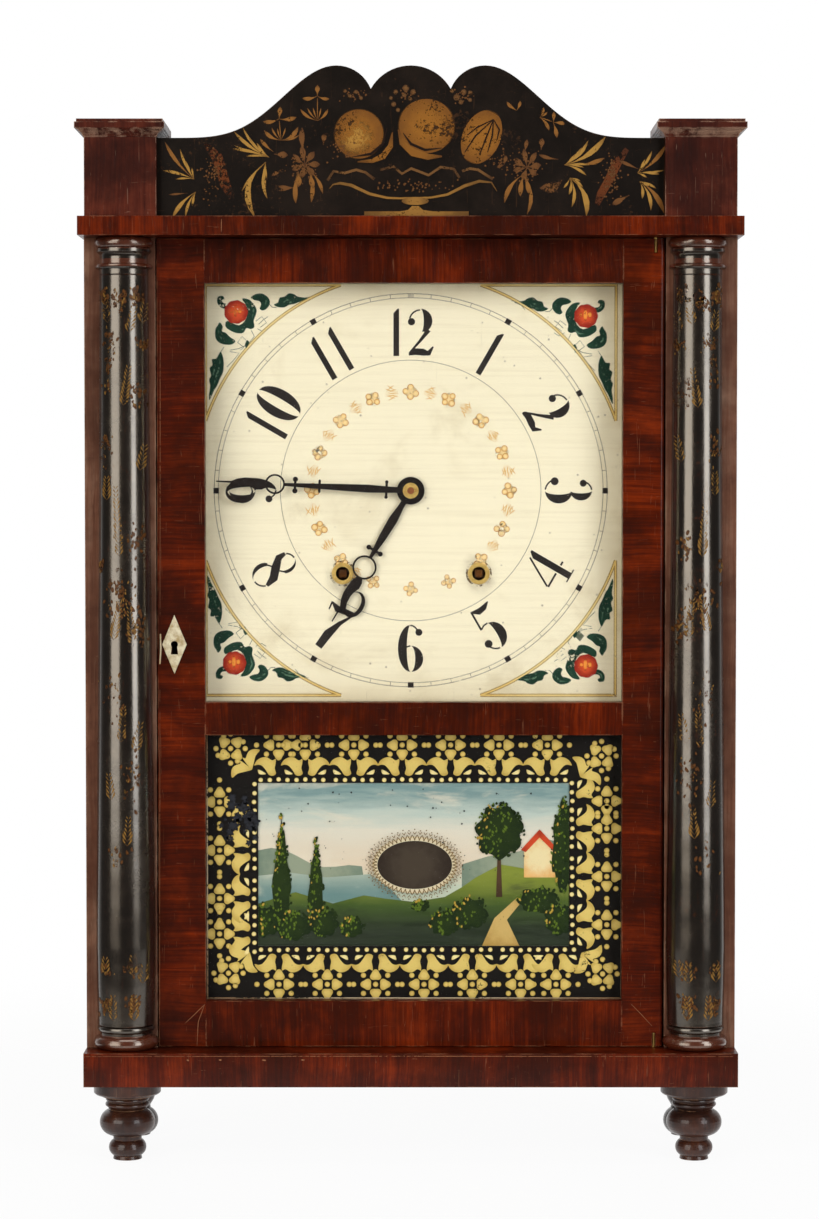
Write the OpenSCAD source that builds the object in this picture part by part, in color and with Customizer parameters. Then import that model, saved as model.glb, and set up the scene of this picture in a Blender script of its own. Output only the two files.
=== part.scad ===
// Pillar and splat shelf clock: a mahogany case with half columns, a shaped splat and a
// two-panel door, and inside it a thirty-hour weight movement with wooden plates and wheels.
// The frame: X to the right as seen from the front, +Y to the back, +Z up, origin on the
// floor under the middle of the base.

/* [Case] */
// Width of the base board, flush with the case sides
base_w = 425; // [400:1:450]
// Depth of the base board and of the whole clock
case_d = 128; // [118:1:140]
// Thickness of the base board
base_t = 22; // [18:1:26]
// Height from the base board to the top board
case_h = 529.4; // [510:0.2:560]
// Thickness of the top board
top_t = 12.3; // [12:0.1:15]
// How far the top board passes the case on each side
top_over = 2; // [1:0.5:3]
// Height of the turned feet
foot_h = 51; // [45:1:60]
// Radius of the collar at the top of each front foot
foot_r = 22; // [20:0.5:23]
// Distance of each foot's axis from the side of the case
foot_in = 26.5; // [25:0.5:27]
// Thickness of the case sides
side_t = 9; // [8:0.5:10]
// Thickness of the backboard
back_t = 8; // [6:0.5:8]
// Width of the stile behind each column
stile_w = 46.4; // [46:0.2:47]
// Thickness of the front stiles
stile_t = 20; // [18:1:20]
// How far the front frame stands behind the front of the base
front_setback = 24; // [24:0.5:25]

/* [Columns and crest] */
// Distance of each column's axis from the side of the case
column_in = 26; // [24.5:0.5:26]
// Radius at the top of the column shaft
shaft_top_r = 16; // [14:0.5:17]
// Largest radius of the shaft, low down
shaft_swell_r = 19.6; // [18:0.2:20]
// Radius of the column's base ring
column_ring_r = 21.3; // [20:0.1:21.4]
// Width of the square blocks beside the splat
block_w = 46.5; // [44:0.5:47]
// Height of those blocks without their caps
block_h = 51.3; // [45:0.3:60]
// Height of the moulded caps
cap_h = 11; // [9:0.5:14]
// How far each cap passes its block
cap_over = 5.7; // [4:0.1:6]
// Height of the splat's lobes above the top board
splat_h = 97.5; // [85:0.5:105]
// Thickness of the splat
splat_t = 9; // [8:0.5:12]

/* [Door] */
// Thickness of the door frame
door_t = 18; // [17:0.5:18]
// Width of the left door stile
door_stile_l = 31; // [29:0.5:33]
// Width of the right door stile
door_stile_r = 27; // [26:0.5:30]
// Height of the top rail
rail_top_h = 28.7; // [26:0.1:31]
// Height of the middle rail
rail_mid_h = 21.5; // [20:0.5:24]
// Height of the bottom rail
rail_bottom_h = 30; // [27:0.5:32]
// How far the middle rail's top edge stands above the dial's lower edge
dial_lap = 7.8; // [4:0.2:8]
// Gap between the door and its surround
door_gap = 0.8; // [0.6:0.1:1]
// Thickness of the two glass panes
glass_t = 2; // [1.5:0.1:2.5]

/* [Dial and hands] */
// Gap between the dial board and the top board
dial_top_gap = 18.4; // [16.4:0.2:20.4]
// How far each side of the dial board stands inside the door opening
dial_inset = 20.1; // [19.1:0.5:22.1]
// Thickness of the dial board
dial_t = 5; // [4:0.5:5]
// Distance of the winding holes from the centre line
wind_x = 44.9; // [44.5:0.1:46]
// Depth of the winding holes below the dial's centre
wind_drop = 54.6; // [54:0.2:56]
// Distance of the minute hand's tip from the dial's edge
minute_short = 18; // [16:0.5:30]
// Distance of the hour hand's tip from the dial's edge
hour_short = 45.5; // [43:0.5:60]
// Place of the minute hand, in degrees clockwise from twelve
minute_deg = 272.8; // [0:0.1:360]
// Place of the hour hand, in degrees clockwise from twelve
hour_deg = 211.1; // [0:0.1:360]

/* [Movement] */
// Gap between the back plate and the backboard
rear_gap = 7; // [4:0.5:8]
// Thickness of the plates
plate_t = 6; // [5:0.5:6]
// Gear module of the great wheels
great_m = 1.6; // [1.6:0.01:1.62]
// Distance of the second arbors from the centre arbor
second_d = 34; // [34:0.1:34.5]
// Radius of the cord drums
drum_r = 16; // [14:0.5:16]
// Radius of the escape wheel
escape_r = 20; // [18:0.5:20]
// Length of the pendulum from its stud to the middle of the bob
pendulum_len = 243; // [235:1:250]
// Radius of the pendulum bob
bob_r = 21; // [16:1:24]
// Radius of the two weights
weight_r = 20; // [17:0.5:22]
// Height of the two weights
weight_h = 125; // [100:5:130]
// Radius of the cord pulleys
pulley_r = 13; // [11:0.5:13]

/* [Fits] */
// Radial clearance of a turning pivot in its hole
run_fit = 0.05; // [0.03:0.01:0.09]

/* [Hidden] */
$fn = 96;

// Heights and depths of the case
base_z = foot_h;
floor_z = base_z + base_t;
top_z = floor_z + case_h;
crest_z = top_z + top_t;
front_y = -case_d / 2;
back_y = case_d / 2;
frame_y = front_y + front_setback;
stile_back_y = frame_y + stile_t;
inner_back_y = back_y - back_t;
half_w = base_w / 2;
opening_x = half_w - stile_w;

// The dial board's size and place
dial_size = 2 * (opening_x - dial_inset);
dial_z = top_z - dial_top_gap - dial_size / 2;
dial_low_z = dial_z - dial_size / 2;

// The column's profile
column_x = half_w - column_in;
shaft_base_r = 18.7;
shaft_swell_at = 0.12;
column_base_h = 18;
column_cap_h = 25;

// The feet; their profiles are drawn 51 high with a collar of radius 22 and fitted to the real sizes
foot_wide = foot_r / 22;
foot_tall = foot_h / 51;
foot_x = half_w - foot_in;
foot_front_y = front_y + 24;
foot_rear_y = back_y - 24;
tenon_r = 8;
tenon_h = 15;

// The splat's outline
lobe_x = 48;
lobe_half = 25.8;
lobe_drop = 15;
splat_end_h = 51;
splat_y = front_y + 12;
block_x = half_w - block_w / 2 - 2;
block_d = 50;
cap_front_gap = 0.4;
block_y = front_y + cap_front_gap + cap_over;

// The door
door_x = opening_x - door_gap;
door_z = floor_z + 0.6;
door_h = case_h - 1.2;
door_back_y = frame_y + door_t;
door_round = 2.5;
hinge_inset = 5.8;
hinge_x = door_x - hinge_inset;
hinge_y = frame_y + door_round;
hinge_r = 1.1;
hinge_pin_h = 12;
hinge_slot_h = 9;
rabbet = 4;
glass_y = frame_y + 8;
putty = 5;
tablet_low_z = door_z + rail_bottom_h;
glass_low_z = dial_low_z + dial_lap;
tablet_high_z = glass_low_z - rail_mid_h;
glass_high_z = door_z + door_h - rail_top_h;
glass_left = -door_x + door_stile_l;
glass_right = door_x - door_stile_r;
mortise_t = 6;
tenon_in = 18;
lock_z = door_z + door_h / 2;
lock_in = 11;
bolt_y = frame_y + 11;
keyhole_r = 2.3;
bolt_h = 14;
bolt_t = 4;
bolt_throw = 6;

// The dial and its supports
dial_y = stile_back_y + 2;
dial_back_y = dial_y + dial_t;
ferrule_r = 7.1;
ferrule_hole_r = 4.5;
strip_t = 10;
minute_len = dial_size / 2 - minute_short;
hour_len = dial_size / 2 - hour_short;
hand_t = 1;
hand_r = 2.3;
pipe_r = 4.5;
hour_hand_y = dial_y - 2.6;
minute_hand_y = dial_y - 5.6;
hand_end_y = dial_y - 8.4;

// The movement's layers, front to back
plate_y = dial_back_y + 16;
plate_back_y = plate_y + plate_t;
rear_plate_back_y = inner_back_y - rear_gap;
rear_plate_y = rear_plate_back_y - plate_t;
plate_x = 87;
plate_low = -98;
plate_high = 80;
rail_x = 88;
rail_t = 10;
ear_h = 22;
layer_t = 2.8;
layer_gap = 0.6;
layer1_y = plate_y - layer_gap - layer_t;
layer2_y = layer1_y - layer_gap - layer_t;
layer3_y = layer2_y - layer_gap - layer_t;
rod_y = dial_back_y + 3;
great_y = plate_back_y + 2;
great_t = 5;
rear_wheel_y = rear_plate_y - 6;
wheel_t = 3;
flange_t = 1.5;
drum_y = great_y + great_t + 4;
drum_t = rear_wheel_y - flange_t - 0.7 - drum_y;
middle_wheel_y = plate_back_y + 10;

// The arbors and pivots
pivot_r = 1.5;
wire_r = 1;
centre_r = 2;
thin_arbor_r = 1.6;
arbor_r = 2.5;
drum_arbor_r = 4;
pillar_r = 6;
pillar_tenon_r = 3.5;

// The trains: teeth and modules
great_n = 48;
second_pinion_n = 8;
second_n = 60;
third_pinion_n = 6;
third_n = 78;
third_m = 0.7;
escape_pinion_n = 6;
escape_n = 42;
second_m = 1.0;
link_n = 36;
centre_n = 24;
link_m = 2 * second_d / (link_n + centre_n);
minute_pinion_n = 10;
motion_n = 30;
motion_pinion_n = 8;
hour_n = 32;
motion_m = 1.0;
warning_n = 48;
warning_m = 0.8;
fly_pinion_n = 6;
count_n = 78;
count_pinion_n = 10;
count_m = 0.6;

// Tooth shapes, each in modules: thickness at the pitch line, height above it, depth below it
wheel_tooth = [1.4, 1.2, 1.5];
pinion_tooth = [1.0, 0.75, 1.6];

// Distance between two meshed arbors
function mesh_d(na, nb, m) = (na + nb) * m / 2;
// Direction from one place to another, in degrees
function heading(a, b) = atan2(b[1] - a[1], b[0] - a[0]);
// Place at a distance and direction from another
function from_place(a, d, deg) = a + d * [cos(deg), sin(deg)];
// Place at given distances from two others, to the left of the way from a to b when side is 1
function two_distances(a, b, ra, rb, side) =
    let (d = norm(b - a), u = (b - a) / d)
    let (along = (ra * ra - rb * rb + d * d) / (2 * d))
    a + along * u + side * sqrt(ra * ra - along * along) * [-u[1], u[0]];
// Turn of a pinion whose gap faces the tooth that a wheel holds on the line between them
function gap_turn(deg, n) = deg + 180 + 180 / n;

// The arbors' places, from the dial's centre
centre = [0, 0];
great_at = [wind_x, -wind_drop];
second_at = two_distances(centre, great_at, second_d, mesh_d(great_n, second_pinion_n, great_m), 1);
escape_at = [14, 38];
third_at = two_distances(
    second_at, escape_at,
    mesh_d(second_n, third_pinion_n, second_m), mesh_d(third_n, escape_pinion_n, third_m), -1
);
strike_at = [-great_at[0], great_at[1]];
pin_at = [-second_at[0], second_at[1]];
warning_at = from_place(pin_at, mesh_d(second_n, third_pinion_n, second_m), 100);
fly_at = from_place(warning_at, mesh_d(warning_n, fly_pinion_n, warning_m), 100);
count_at = from_place(pin_at, mesh_d(count_n, count_pinion_n, count_m), 140);
motion_at = [0, -mesh_d(motion_n, minute_pinion_n, motion_m)];
hammer_at = [-72, -14];

// The escapement and the pendulum
verge_half_deg = 27.9;
verge_at = [escape_at[0], escape_at[1] + escape_r / cos(verge_half_deg)];
pallet_gap = 0.8;
rod_r = 1;
crutch_drop = 30;

// The bell and its hammer
bell_at = [-22, -152];
bell_r = 36;
bell_wall = 2.5;
bell_h = 26;
bell_y = inner_back_y - bell_h - 12;
head_r = 6;
head_len = 12;
head_gap = 1.5;
hammer_knee = [11, -67];
hammer_wire_r = 1.2;

// The weights and the pulleys
weight_in = 62.5;
weight_x = half_w - weight_in;
weight_gap = 3;
weight_y = dial_back_y + strip_t + weight_gap + weight_r;
pulley_groove = 2;
pulley_t = 7;
pulley_x = weight_x - pulley_r + pulley_groove;
pulley_z = crest_z - 2.7;
slot_x = pulley_r + 1.5;
slot_y = pulley_t / 2 + 1;

// Points of an arc round (cx, cy)
function arc(cx, cy, r, a0, a1, n) =
    [for (i = [0:n]) let (a = a0 + (a1 - a0) * i / n) [cx + r * cos(a), cy + r * sin(a)]];

// Corner points of a gear's teeth; the first tooth points in the direction turn
function gear_points(n, m, tooth, turn) =
    let (r = n * m / 2, half = tooth[0] * m / 2 / r * 180 / PI)
    let (low = r - tooth[2] * m, shoulder = r + 0.6 * tooth[1] * m, tip = r + tooth[1] * m)
    let (corners = [[low, -1], [r, -1], [shoulder, -0.66], [tip, -0.16],
                    [tip, 0.16], [shoulder, 0.66], [r, 1], [low, 1]])
    [for (k = [0:n - 1], c = corners)
        let (a = turn + 360 * k / n + c[1] * half) c[0] * [cos(a), sin(a)]];

// A flat shape drawn in X and Z, made solid from y0 to y1
module slab(y0, y1) {
    translate([0, y1, 0]) rotate([90, 0, 0]) linear_extrude(y1 - y0) children();
}

// A round bar along Y
module bar(r, y0, y1, at = [0, 0]) {
    translate([at[0], y0, at[1]]) rotate([-90, 0, 0]) cylinder(r = r, h = y1 - y0);
}

// A box given by its two corners
module block(low, high) {
    translate(low) cube(high - low);
}

module wheel(n, m, turn, y0, y1) {
    slab(y0, y1) polygon(gear_points(n, m, wheel_tooth, turn));
}

module pinion(n, m, turn, y0, y1) {
    slab(y0, y1) polygon(gear_points(n, m, pinion_tooth, turn));
}

// An arbor between the plates with a pivot in each
module arbor(r, end_r = pivot_r) {
    bar(r, plate_back_y + 0.5, rear_plate_y - 0.5);
    bar(end_r, plate_y, rear_plate_back_y);
}

module on_movement(at = [0, 0]) {
    translate([at[0], 0, dial_z + at[1]]) children();
}

// The case

module backboard() {
    color("#6b4a30")
        block([-half_w, inner_back_y, floor_z], [half_w, back_y, top_z]);
}

module case_side(side) {
    color("#4a1c12")
        block([side > 0 ? half_w - side_t : -half_w, stile_back_y, floor_z],
              [side > 0 ? half_w : side_t - half_w, inner_back_y, top_z]);
}

module side_left() { case_side(-1); }

module side_right() { case_side(1); }

module pulley_slots() {
    for (side = [-1, 1]) {
        translate([side * pulley_x, weight_y, 0]) {
            block([-slot_x, -slot_y, top_z - 1], [slot_x, slot_y, crest_z + 1]);
            translate([0, 0, pulley_z]) rotate([90, 0, 0])
                cylinder(r = pivot_r + run_fit, h = 24, center = true);
            block([-pivot_r - run_fit, -12, pulley_z], [pivot_r + run_fit, 12, crest_z + 1]);
        }
    }
}

module top_board() {
    color("#571f14") difference() {
        block([-half_w - top_over, front_y, top_z], [half_w + top_over, back_y, crest_z]);
        pulley_slots();
        translate([hinge_x, hinge_y, top_z - 1]) cylinder(r = hinge_r, h = top_t - 3);
    }
}

module base_board() {
    color("#571f14") difference() {
        block([-half_w, front_y, base_z], [half_w, back_y, floor_z]);
        for (x = [-foot_x, foot_x], y = [foot_front_y, foot_rear_y])
            translate([x, y, base_z - 1]) cylinder(r = tenon_r, h = tenon_h + 1);
        translate([hinge_x, hinge_y, floor_z - hinge_pin_h]) cylinder(r = hinge_r, h = hinge_pin_h + 1);
    }
}

module stile(side) {
    low_x = side > 0 ? opening_x : -half_w;
    color("#4f1a10") block([low_x, frame_y, floor_z], [low_x + stile_w, stile_back_y, top_z]);
}

module stile_left() {
    difference() {
        stile(-1);
        block([-opening_x - bolt_throw - 3, bolt_y - bolt_t / 2 - 1, lock_z - bolt_h / 2 - 1],
              [-opening_x + 1, bolt_y + bolt_t / 2 + 1, lock_z + bolt_h / 2 + 1]);
    }
}

module stile_right() { stile(1); }

// Radius of the shaft at a share of its height: a slight swell low down, then a long taper
function shaft_r(t) = t < shaft_swell_at
    ? shaft_base_r + (shaft_swell_r - shaft_base_r) * sin(90 * t / shaft_swell_at)
    : shaft_top_r + (shaft_swell_r - shaft_top_r)
      * pow(1 - (t - shaft_swell_at) / (1 - shaft_swell_at), 1.4);

module half_column() {
    shaft_h = case_h - column_base_h - column_cap_h;
    neck_r = shaft_top_r - 0.4;
    profile = concat(
        [[0, 0]],
        arc(column_ring_r - 4.5, 4.5, 4.5, -90, 90, 10),
        [[column_ring_r - 4, 9], [column_ring_r - 4, 11]],
        arc(column_ring_r - 4.8, 13.5, 2.5, -90, 90, 6),
        [[shaft_base_r, 16], [shaft_base_r, column_base_h]],
        [for (i = [0:20]) [shaft_r(i / 20), column_base_h + shaft_h * i / 20]],
        [[shaft_top_r - 0.6, column_base_h + shaft_h + 0.4], [shaft_top_r, column_base_h + shaft_h + 0.8],
         [shaft_top_r, case_h - 20.8]],
        arc(shaft_top_r + 1.2, case_h - 19, 1.7, -90, 90, 6),
        [[neck_r, case_h - 17.2]],
        arc(neck_r + 4, case_h - 13.4, 4, 180, 125, 6),
        [[neck_r + 2.2, case_h - 9.6], [neck_r + 2.2, case_h - 7.4]],
        arc(neck_r + 0.1, case_h - 3.7, 3.7, -90, 90, 10),
        [[0, case_h]]
    );
    color("#15100d") translate([0, 0, floor_z]) rotate([0, 0, 180]) rotate_extrude(angle = 180)
        polygon(profile);
}

module column_left() { translate([-column_x, frame_y, 0]) half_column(); }

module column_right() { translate([column_x, frame_y, 0]) half_column(); }

module crest_block(side) {
    color("#4f1a10")
        block([side * block_x - block_w / 2, block_y, crest_z],
              [side * block_x + block_w / 2, block_y + block_d, crest_z + block_h]);
}

module block_left() { crest_block(-1); }

module block_right() { crest_block(1); }

// A moulded cap: a plain band above a cove, run round the block, in thin steps of the cove's curve
module block_cap() {
    steps = 6;
    cove_h = cap_h * 0.45;
    for (i = [0:steps - 1]) {
        over = (cap_over - 1.2) * (1 - cos(90 * (i + 0.5) / steps)) + 0.6;
        block([-block_w / 2 - over, -over, cove_h * i / steps],
              [block_w / 2 + over, block_d + over, cove_h * (i + 1) / steps]);
    }
    block([-block_w / 2 - cap_over, -cap_over, cove_h],
          [block_w / 2 + cap_over, block_d + cap_over, cap_h - 2]);
    block([-block_w / 2 - cap_over + 1.2, -cap_over + 1.2, cap_h - 2],
          [block_w / 2 + cap_over - 1.2, block_d + cap_over - 1.2, cap_h]);
}

module block_caps() {
    color("#571f14") for (side = [-1, 1])
        translate([side * block_x, block_y, crest_z + block_h]) block_cap();
}

// Height of the splat's edge above the top board at a distance x from the middle
function slope_h(x, end_x) =
    splat_end_h + (splat_h - splat_end_h) * pow(0.5 + 0.5 * cos(180 * (x - lobe_x) / (end_x - lobe_x)), 2.5);

// The radius of an arc of a given half width and height
function arc_r(half, rise) = (half * half + rise * rise) / (2 * rise);

module splat() {
    end_x = block_x - block_w / 2;
    outer_half = lobe_x - lobe_half;
    mid_r = arc_r(lobe_half, lobe_drop);
    outer_r = arc_r(outer_half, lobe_drop);
    mid_deg = asin(lobe_half / mid_r);
    outer_deg = asin(outer_half / outer_r);
    right = concat(
        arc(0, splat_h - mid_r, mid_r, 90, 90 - mid_deg, 10),
        arc(lobe_x, splat_h - outer_r, outer_r, 90 + outer_deg, 90, 9),
        [for (i = [1:36]) let (x = lobe_x + (end_x - lobe_x) * i / 36) [x, slope_h(x, end_x)]],
        [[end_x, 0]]
    );
    left = [for (i = [len(right) - 1:-1:1]) [-right[i][0], right[i][1]]];
    color("#1a130d") translate([0, 0, crest_z]) slab(splat_y, splat_y + splat_t)
        polygon(concat(right, left));
}

// A foot's profile fitted to the real height and collar, with the tenon above it
function fitted_foot(shape) = concat(
    [for (p = shape) [p[0] * foot_wide, p[1] * foot_tall]],
    [[tenon_r, foot_h], [tenon_r, foot_h + tenon_h], [0, foot_h + tenon_h]]);

// A turned front foot: a wide collar, a ringed neck, a bulb, a waist and a ball
module feet_front() {
    profile = concat(
        [[0, 0], [9.5, 0]],
        arc(6.3, 7.5, 6, -62, 60, 8),
        [[9.3, 14], [9.3, 15.4]],
        arc(9.6, 24.3, 8.6, -84, 78, 12),
        [[12.6, 33.6], [13, 34.2]],
        arc(13.1, 36, 1.4, -80, 80, 6),
        [[12.5, 37.6], [12.5, 38]],
        arc(13, 39.5, 1.3, -80, 80, 6),
        [[14.6, 41], [17, 41.4], [17, 42.6], [21, 43], [22, 44], [22, 51]]
    );
    color("#3b140c") for (x = [-foot_x, foot_x]) translate([x, foot_front_y, 0]) rotate_extrude()
        polygon(fitted_foot(profile));
}

// A plainer rear foot: a straight taper to a neck, then a ball
module feet_rear() {
    profile = concat(
        [[0, 0], [8.5, 0]],
        arc(4.5, 9.5, 9.5, -62, 62, 10),
        [[8.6, 20], [11, 24], [20, 51]]
    );
    color("#3b140c") for (x = [-foot_x, foot_x]) translate([x, foot_rear_y, 0]) rotate_extrude()
        polygon(fitted_foot(profile));
}

// Two rails hold the movement, and two strips with a ledge hold the dial
module case_rails() {
    color("#a98a62") for (side = [0, 1]) mirror([side, 0, 0]) {
        block([rail_x, plate_back_y, floor_z], [rail_x + rail_t, inner_back_y, top_z]);
        block([opening_x, stile_back_y, floor_z + 60], [opening_x + 14, dial_back_y + strip_t, top_z]);
        block([dial_size / 2 - 10, dial_back_y, floor_z + 60],
              [opening_x + 1, dial_back_y + strip_t, top_z]);
        block([dial_size / 2 - 10, door_back_y + 1, dial_low_z - 10],
              [opening_x, dial_back_y + 1, dial_low_z]);
    }
}

// The dial

module dial_board() {
    half = dial_size / 2;
    color("#efe6cf") on_movement() difference() {
        block([-half, dial_y, -half], [half, dial_back_y, half]);
        bar(7, dial_y - 1, dial_back_y + 1);
        for (at = [great_at, strike_at]) bar(ferrule_r - 1, dial_y - 1, dial_back_y + 1, at);
    }
}

module winding_ferrules() {
    color("#b08a4a") on_movement() for (at = [great_at, strike_at]) difference() {
        union() {
            bar(ferrule_r, dial_y - 0.8, dial_y, at);
            bar(ferrule_r - 1, dial_y - 0.8, dial_back_y, at);
        }
        bar(ferrule_hole_r, dial_y - 2, dial_back_y + 1, at);
    }
}

// The door

// The rabbet behind a glazed opening, with the opening itself
module glazed_opening(low_z, high_z) {
    block([glass_left, frame_y - 1, low_z], [glass_right, door_back_y + 1, high_z]);
    block([glass_left - rabbet, glass_y, low_z - rabbet],
          [glass_right + rabbet, door_back_y + 1, high_z + rabbet]);
}

module glazed_openings() {
    glazed_opening(tablet_low_z, tablet_high_z);
    glazed_opening(glass_low_z, glass_high_z);
}

// A rail with a tenon at each end
module door_rail(low_z, high_z) {
    mid_y = (frame_y + glass_y) / 2 - mortise_t / 2;
    tongue = high_z - low_z > 24 ? 5 : 3;
    color("#571f14") difference() {
        union() {
            block([glass_left, frame_y, low_z], [glass_right, door_back_y, high_z]);
            block([glass_left - tenon_in, mid_y, low_z + tongue],
                  [glass_right + tenon_in, mid_y + mortise_t, high_z - tongue]);
        }
        glazed_openings();
    }
}

module door_rail_top() { door_rail(glass_high_z, door_z + door_h); }

module door_rail_middle() { door_rail(tablet_high_z, glass_low_z); }

module door_rail_bottom() { door_rail(door_z, tablet_low_z); }

module door_tenons() {
    door_rail_top();
    door_rail_middle();
    door_rail_bottom();
}

module door_stile_left() {
    color("#4f1a10") difference() {
        block([-door_x, frame_y, door_z], [glass_left, door_back_y, door_z + door_h]);
        glazed_openings();
        door_tenons();
        translate([-door_x + lock_in, 0, lock_z]) {
            bar(keyhole_r, frame_y - 1, glass_y);
            block([-keyhole_r + 0.6, frame_y - 1, -7], [keyhole_r - 0.6, glass_y, 0]);
        }
        lock_space();
    }
}

module door_stile_right() {
    color("#4f1a10") difference() {
        union() {
            block([glass_right, frame_y, door_z], [door_x - door_round, door_back_y, door_z + door_h]);
            block([glass_right, frame_y + door_round, door_z], [door_x, door_back_y, door_z + door_h]);
            translate([door_x - door_round, frame_y + door_round, door_z])
                cylinder(r = door_round, h = door_h);
        }
        glazed_openings();
        door_tenons();
        for (z = [door_z - 1, door_z + door_h - hinge_pin_h])
            translate([hinge_x, hinge_y, z]) cylinder(r = hinge_r + run_fit, h = hinge_pin_h + 1);
        for (z = [door_z - 1, door_z + door_h - hinge_slot_h])
            block([hinge_x - hinge_r, frame_y - 1, z], [hinge_x + hinge_r, hinge_y, z + hinge_slot_h + 1]);
    }
}

module pane(low_z, high_z) {
    edge = rabbet - 0.5;
    block([glass_left - edge, glass_y, low_z - edge],
          [glass_right + edge, glass_y + glass_t, high_z + edge]);
}

module door_glass() { color("#dfe8e6", 0.3) pane(glass_low_z, glass_high_z); }

module tablet_glass() { color("#2a2018", 0.9) pane(tablet_low_z, tablet_high_z); }

// Putty fillets behind the glass, round each opening
module glazing_strips() {
    edge = rabbet - 0.5;
    for (z = [[tablet_low_z, tablet_high_z], [glass_low_z, glass_high_z]])
        color("#b7a88c") difference() {
            block([glass_left - edge, glass_y + glass_t, z[0] - edge],
                  [glass_right + edge, glass_y + glass_t + putty, z[1] + edge]);
            block([glass_left, glass_y, z[0]], [glass_right, door_back_y, z[1]]);
        }
}

// A diamond plate with a keyhole, let flush into the stile's face
module escutcheon() {
    color("#e6dcc0") translate([-door_x + lock_in, 0, lock_z]) difference() {
        slab(frame_y - 0.6, frame_y) polygon([[8, 0], [0, 19.25], [-8, 0], [0, -19.25]]);
        bar(keyhole_r, frame_y - 1, frame_y + 1);
        slab(frame_y - 1, frame_y + 1)
            polygon([[-1.5, 0], [1.5, 0], [2.4, -6.5], [-2.4, -6.5]]);
    }
}

// The space cut in the left door stile for the lock and its bolt
module lock_space() {
    block([-door_x - 1, glass_y, lock_z - 17], [-door_x + 24, door_back_y + 1, lock_z + 17]);
    block([-door_x - 1, bolt_y - bolt_t / 2 - 0.1, lock_z - bolt_h / 2 - 0.1],
          [-door_x + 24, glass_y + 2, lock_z + bolt_h / 2 + 0.1]);
}

module lock_case() {
    color("#6d675e") difference() {
        block([-door_x, glass_y, lock_z - 17], [-door_x + 24, door_back_y, lock_z + 17]);
        block([-door_x - 1, bolt_y - bolt_t / 2 - run_fit, lock_z - bolt_h / 2 - run_fit],
              [-door_x + 20, bolt_y + bolt_t / 2 + run_fit, lock_z + bolt_h / 2 + run_fit]);
        translate([-door_x + lock_in, 0, lock_z]) bar(1.6, glass_y - 1, glass_y + 4);
    }
}

module lock_bolt() {
    color("#7d776c")
        block([-door_x, bolt_y - bolt_t / 2, lock_z - bolt_h / 2],
              [-door_x + 18, bolt_y + bolt_t / 2, lock_z + bolt_h / 2]);
}

// The wire pins that the door turns on, one fixed in each board
module hinge_pins() {
    lower_z = floor_z - hinge_pin_h;
    upper_z = door_z + door_h - hinge_pin_h + 1;
    color("#b08a4a") for (z = [lower_z, upper_z]) translate([hinge_x, hinge_y, z])
        cylinder(r = hinge_r, h = z == lower_z ? 2 * hinge_pin_h - 1 : top_z + top_t - 4 - z);
}

// The movement's frame

function corner_places() = [for (x = [-1, 1], z = [plate_low + 10, plate_high - 10]) [x * (plate_x - 9), z]];

// Holes through a plate for every pivot that runs in it
module pivot_holes() {
    for (at = [second_at, third_at, pin_at, warning_at, hammer_at])
        bar(pivot_r + run_fit, plate_y - 1, rear_plate_back_y + 1, at);
    for (at = [escape_at, fly_at])
        bar(wire_r + run_fit, plate_y - 1, rear_plate_back_y + 1, at);
    bar(centre_r + run_fit, plate_y - 1, rear_plate_back_y + 1);
}

module front_plate() {
    color("#b48a52") on_movement() difference() {
        union() {
            block([-plate_x, plate_y, plate_low], [plate_x, plate_back_y, plate_high]);
            for (z = [plate_low, plate_high - ear_h])
                block([-rail_x - rail_t, plate_y, z], [rail_x + rail_t, plate_back_y, z + ear_h]);
        }
        pivot_holes();
        for (at = [great_at, strike_at]) bar(drum_arbor_r + run_fit, plate_y - 1, plate_back_y + 1, at);
        bar(arbor_r + run_fit, plate_y - 1, plate_back_y + 1, second_at);
        bar(centre_r + run_fit, plate_y - 1, plate_back_y + 1, pin_at);
        for (at = [motion_at, count_at]) bar(pivot_r + run_fit, plate_y - 1, plate_back_y + 1, at);
        for (at = corner_places()) bar(pillar_tenon_r, plate_y - 1, plate_back_y + 1, at);
        bar(2, plate_y - 1, plate_back_y + 1, verge_at);
        for (side = [-1, 1]) translate([side * 64, 0, 30]) plate_window();
    }
}

// A tall window with round ends that lightens the plate
module plate_window() {
    slab(plate_y - 1, plate_back_y + 1) {
        translate([-6, 0]) square([12, 32]);
        circle(6);
        translate([0, 32]) circle(6);
    }
}

module back_plate() {
    color("#b48a52") on_movement() difference() {
        block([-plate_x, rear_plate_y, plate_low], [plate_x, rear_plate_back_y, plate_high]);
        pivot_holes();
        for (at = [great_at, strike_at])
            bar(pivot_r + run_fit, rear_plate_y - 1, rear_plate_back_y + 1, at);
        for (at = corner_places()) bar(pillar_tenon_r, rear_plate_y - 1, rear_plate_back_y + 1, at);
    }
}

module plate_pillars() {
    color("#a0703c") on_movement() for (at = corner_places()) {
        bar(pillar_r, plate_back_y, rear_plate_y, at);
        bar(pillar_tenon_r, plate_y - 2, rear_plate_back_y + 2, at);
    }
}

// The going train

// A great wheel runs loose on its drum's arbor; a click on its back face meets the ratchet
module great_wheel(at, mate_at, y0) {
    click_r = 13.4;
    on_movement(at) {
        difference() {
            wheel(great_n, great_m, heading(at, mate_at), y0, y0 + great_t);
            bar(drum_arbor_r + run_fit, y0 - 1, y0 + great_t + 1);
        }
        rotate([0, -30, 0]) {
            bar(1.2, y0 + great_t, y0 + great_t + 2.5, [click_r + 6, 0]);
            block([click_r, y0 + great_t, -1.2], [click_r + 6, y0 + great_t + 2.2, 1.2]);
        }
    }
}

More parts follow.
